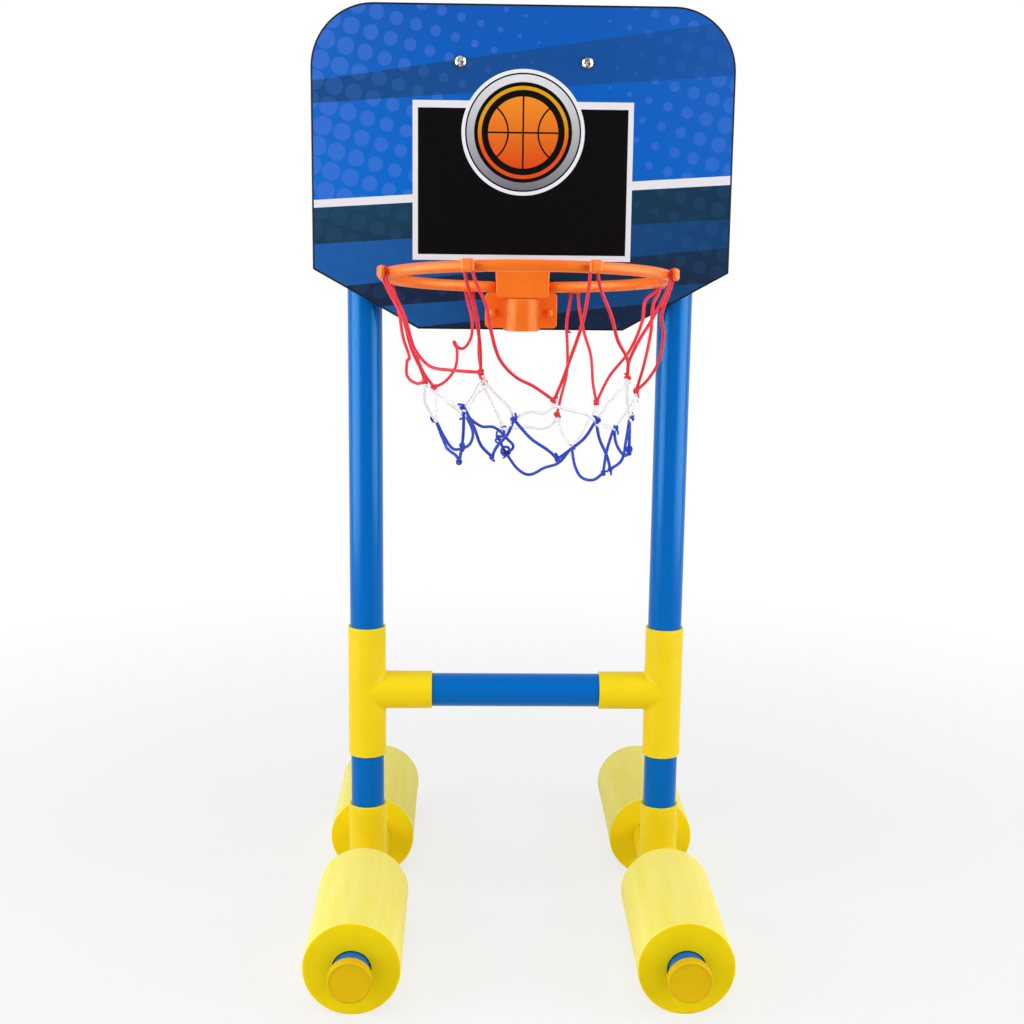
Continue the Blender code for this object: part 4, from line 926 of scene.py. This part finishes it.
# Blue cord's ends that curl into open rings: how far below the knot, the ring's radius and its turns
CURLS = {
    "BI-AB": (*mm(-2.6, 2.1), 1.1), "AB-AC": (*mm(0.3, 2.1), 1.1), "EF-IE": (*mm(-1.6, 3.2), 2.1),
    "IE-BI": (*mm(2.0, 2.3), 1.1), "GH-HF": (*mm(-2.5, 2.4), 1.1),
}


def net_place(place, fall=0.0):
    """A place of the net, from its angle, its percentage of the ring's radius and its percentage of the
    drop."""
    angle, out, down = radians(place[0]), place[1] / 100 * RING_R, place[2] / 100 * NET_DROP
    return np.array([out * sin(angle), RING_Y - out * cos(angle), RING_Z - down - fall])


def hook_place(number, across, out, up):
    """A place at a hook: across it to the right seen from outside, out from the ring's centreline, and up."""
    radial, tangent = hook_ways(number)
    return ring_place((RING_R + out) * radial + across * tangent + up * Z)


def smooth_path(places):
    """A curve through the places that doesn't swing wide of them: between two places, a cubic that leaves and
    arrives along the mean direction of its neighbours, at a speed equal to the run's length."""
    places = np.array(places)
    runs = np.diff(places, axis=0)
    length = np.linalg.norm(runs, axis=1)
    leads = unit(np.concatenate([runs[:1], unit(runs)[:-1] + unit(runs)[1:], runs[-1:]]))
    counts = np.maximum(1, np.round(length / CORD_STEP)).astype(int)
    at = np.repeat(np.arange(len(runs)), counts)
    t = np.concatenate([np.arange(1, n + 1) / n for n in counts])[:, None]
    spot = (2 * t**3 - 3 * t**2 + 1) * places[at] + (3 * t**2 - 2 * t**3) * places[at + 1]
    spot = spot + length[at][:, None] * ((t**3 - 2 * t**2 + t) * leads[at] + (t**3 - t**2) * leads[at + 1])
    return np.concatenate([places[:1], spot])


def strand(path, opens):
    """A length of cord: a tube with three lobes, its yarns, that turn as it goes. It is looser than when it
    was laid, so wider by a third. Where its yarns have opened, it is wider still from 12 mm to 38 mm below
    the ring, and comes back to its size by 58 mm."""
    below = (RING_Z - path[:, 2]) / MM
    opened = np.interp(below, [4, 12, 38, 58], [-0.1, 1, 1, 0]) if opens else 0 * below
    return skin(tube(path, CORD_R * (1.32 + 0.13 * opened), 12, 3, 0.05, CORD_LAY))


def faced(line, place, turn):
    """A line of a flat figure in x and z, turned about the upright to face out of the net at its place, and
    by an angle of its own."""
    turn = turn + np.arctan2(place[0], RING_Y - place[1])
    c, s = cos(turn), sin(turn)
    return line @ np.array([[c, s, 0], [-s, c, 0], [0, 0, 1]]) + place


def knot(place, radius, number):
    """An overhand knot pulled tight: a tube along a trefoil, and its cut end, which sticks out by 1 to 2 mm.
    Each one is turned and its end points another way, by its number."""
    t = 2 * pi * np.arange(61) / 60
    line = np.stack([np.sin(t) + 2 * np.sin(2 * t), -2 * np.sin(3 * t), np.cos(t) - 2 * np.cos(2 * t)], 1)
    line = line * (radius - CORD_R) / 3
    way, length = 2.4 * number, (1 + sin(7 * number) ** 2) * MM + radius
    end = [(0, 0, 0), (cos(way) / 2, -0.3, sin(way) / 2), (cos(way + 0.5), -0.4, sin(way + 0.5))]
    end = np.array(end) * length
    turn = 0.6 * sin(5 * number)
    return [skin(tube(faced(line, place, turn), 1.15 * CORD_R, 10)),
            skin(tube(smooth_path(faced(end, place, turn)), 0.9 * CORD_R, 8))]


def curl(place, radius, turns):
    """A cord's end curled into open rings that face the front: a tube along a circle that widens by a fifth
    and comes forward by its own thickness with each turn."""
    t = 2 * pi * np.linspace(0, turns, round(36 * turns))
    out = (radius - CORD_R) * (1 + 0.2 * t / (2 * pi))
    line = np.stack([out * np.sin(t), -CORD_R * 0.9 * t / pi, out * np.cos(t)], 1)
    return skin(tube(line + place, 0.85 * CORD_R, 10))


def net_tier(colour, strands, knots, curls=()):
    """One colour of the net: its strands, its knots, each a place and a radius, and its curled ends."""
    skins = [strand(path, colour == "red") for path in strands]
    for number, (place, radius) in enumerate(knots):
        skins += knot(place, radius, number)
    skins += [curl(*sizes) for sizes in curls]
    piece(f"{colour}_net_cord", f"net_{colour}", f"{colour}_cord", skins, "rim", 80)


def red_strand(start, before, number, after, finish):
    """A red strand's path: up from one knot, round the hook's neck as a half circle, and down to the next."""
    loop_r, groove = HOOK_NECK_R + FIT + CORD_R, RING_TUBE_R + HOOK_GROOVE / 2
    loop = [hook_place(number, -loop_r * cos(a), groove, loop_r * sin(a)) for a in np.linspace(0, pi, 7)]
    feet = [hook_place(number, way * loop_r, groove - STRAND_IN, -STRAND_FALLS) for way in (-1, 1)]
    up, down = map(net_place, [RED_KNOTS[start], *before]), map(net_place, [*after, RED_KNOTS[finish]])
    return smooth_path([*up, feet[0], *loop, feet[1], *down])


def hung(knots, above_it, fall):
    """The paths of the strands that come down to a tier's knots from those above, which are lower by the
    fall."""
    return [smooth_path([net_place(above_it[top], fall), *map(net_place, via), net_place(place)])
            for place, strands in knots.values() for top, via in strands.items() if top in above_it]


red_knots = [(net_place(place), RED_KNOT_R) for place in RED_KNOTS.values()]
net_tier("red", [red_strand(*way) for way in RED_STRANDS], red_knots + [(net_place(RED_JOINT), RED_JOINT_R)])

WHITE_PLACES = {name: place for name, (place, _) in WHITE_KNOTS.items()}
BLUE_PLACES = {name: place for name, (place, _) in BLUE_KNOTS.items()}
net_tier("white", hung(WHITE_KNOTS, RED_KNOTS, WHITE_FALL),
         [(net_place(place, WHITE_FALL), WHITE_TOP_R) for place in RED_KNOTS.values()]
         + [(net_place(place), WHITE_LOW_R) for place in WHITE_PLACES.values()])
looped = [(net_place((a, out + BLUE_OUT, down), BLUE_FALL), BLUE_TOP_R)
          for a, out, down in WHITE_PLACES.values()]
tied = [(net_place(place), BLUE_KNOT_R) for name, place in BLUE_PLACES.items() if name != UNKNOTTED]
curls = [(net_place(BLUE_PLACES[name], fall), *ring) for name, (fall, *ring) in CURLS.items()]
strands = hung(BLUE_KNOTS, WHITE_PLACES, BLUE_FALL) + hung(BLUE_KNOTS, BLUE_PLACES, 0)
net_tier("blue", strands, looped + tied, curls)


# Floor, white surround and lamps
def eye_rays(look):
    """1 for a ray that the camera sees, straight, on gloss or through something clear, and 0 for one that
    lights the hoop."""
    rays = [node(look, "LightPath", gives=f"Is {kind} Ray") for kind in ("Camera", "Glossy", "Transmission")]
    return node(look, "Math", (node(look, "Math", rays[:2]), rays[2]), use_clamp=True)


def floor():
    """A pale floor that holds the shadow near the hoop, and fades into the white surround further out."""
    out = 12 * np.linspace(0, 1, 24) ** 2
    mesh = welded("floor", [skin(out[:, None, None] * turned(circle(96), X, Y))], 40)
    look, shader = surface("pale_studio_floor", 0.9, "#EAEAEA", Specular_IOR_Level=0.0)
    away = node(look, "VectorMath LENGTH", (node(look, "TexCoord", gives="Object"),), "Value")
    far = node(look, "MapRange", (away, 0.3, 1.1, 0.7), interpolation_type="SMOOTHSTEP")
    share = node(look, "Math MULTIPLY", (far, eye_rays(look)))
    white = node(look, "Emission", {"Color": (1, 1, 1, 1), "Strength": 1.0})
    mixed = node(look, "MixShader", (share, shader.outputs[0], white))
    look.node_tree.links.new(mixed, look.node_tree.nodes["Material Output"].inputs["Surface"])
    mesh.materials.append(look)
    added("floor", mesh)


def surround(level):
    """White to the camera and in reflections, and a soft even light on everything else."""
    world = bpy.data.worlds.new("white_surround")
    world.use_nodes = True
    bpy.context.scene.world = world
    strength = node(world, "MapRange", (eye_rays(world), 0, 1, level, 1.0))
    back = world.node_tree.nodes["Background"]
    back.inputs["Color"].default_value = (1, 1, 1, 1)
    world.node_tree.links.new(strength, back.inputs["Strength"])


def lamp(name, at, aim, width, height, watts, diffuse=True, glossy=True):
    """A soft box: a flat lamp that faces the point it is aimed at. Without its diffuse light it is a card
    that only shows as a streak on gloss, and without its glossy light it leaves no streak."""
    made = added(name, bpy.data.lights.new(name, "AREA"))
    made.data.shape, made.data.size, made.data.size_y, made.data.energy = "RECTANGLE", width, height, watts
    made.location = at
    made.rotation_euler = (Vector(aim) - Vector(at)).to_track_quat("-Z", "Y").to_euler()
    made.visible_camera, made.visible_diffuse, made.visible_glossy = False, diffuse, glossy


floor()
surround(0.34)
lamp("left_soft_box", (-1.35, -0.66, 0.72), (0, 0, 0.45), 0.9, 1.5, 15)
lamp("right_soft_box", (1.35, -0.66, 0.72), (0, 0, 0.45), 0.8, 1.5, 13.5)
lamp("top_soft_box", (-0.1, -0.3, 1.9), (0, 0, 0.4), 1.3, 1.3, 9, glossy=False)
lamp("left_card", (-0.625, -0.25, 0.72), (0, 0, 0.72), 0.67, 1.13, 18, diffuse=False)
lamp("right_card", (0.625, -0.25, 0.72), (0, 0, 0.72), 0.67, 1.13, 16.5, diffuse=False)

bpy.context.scene.view_settings.view_transform = "Standard"
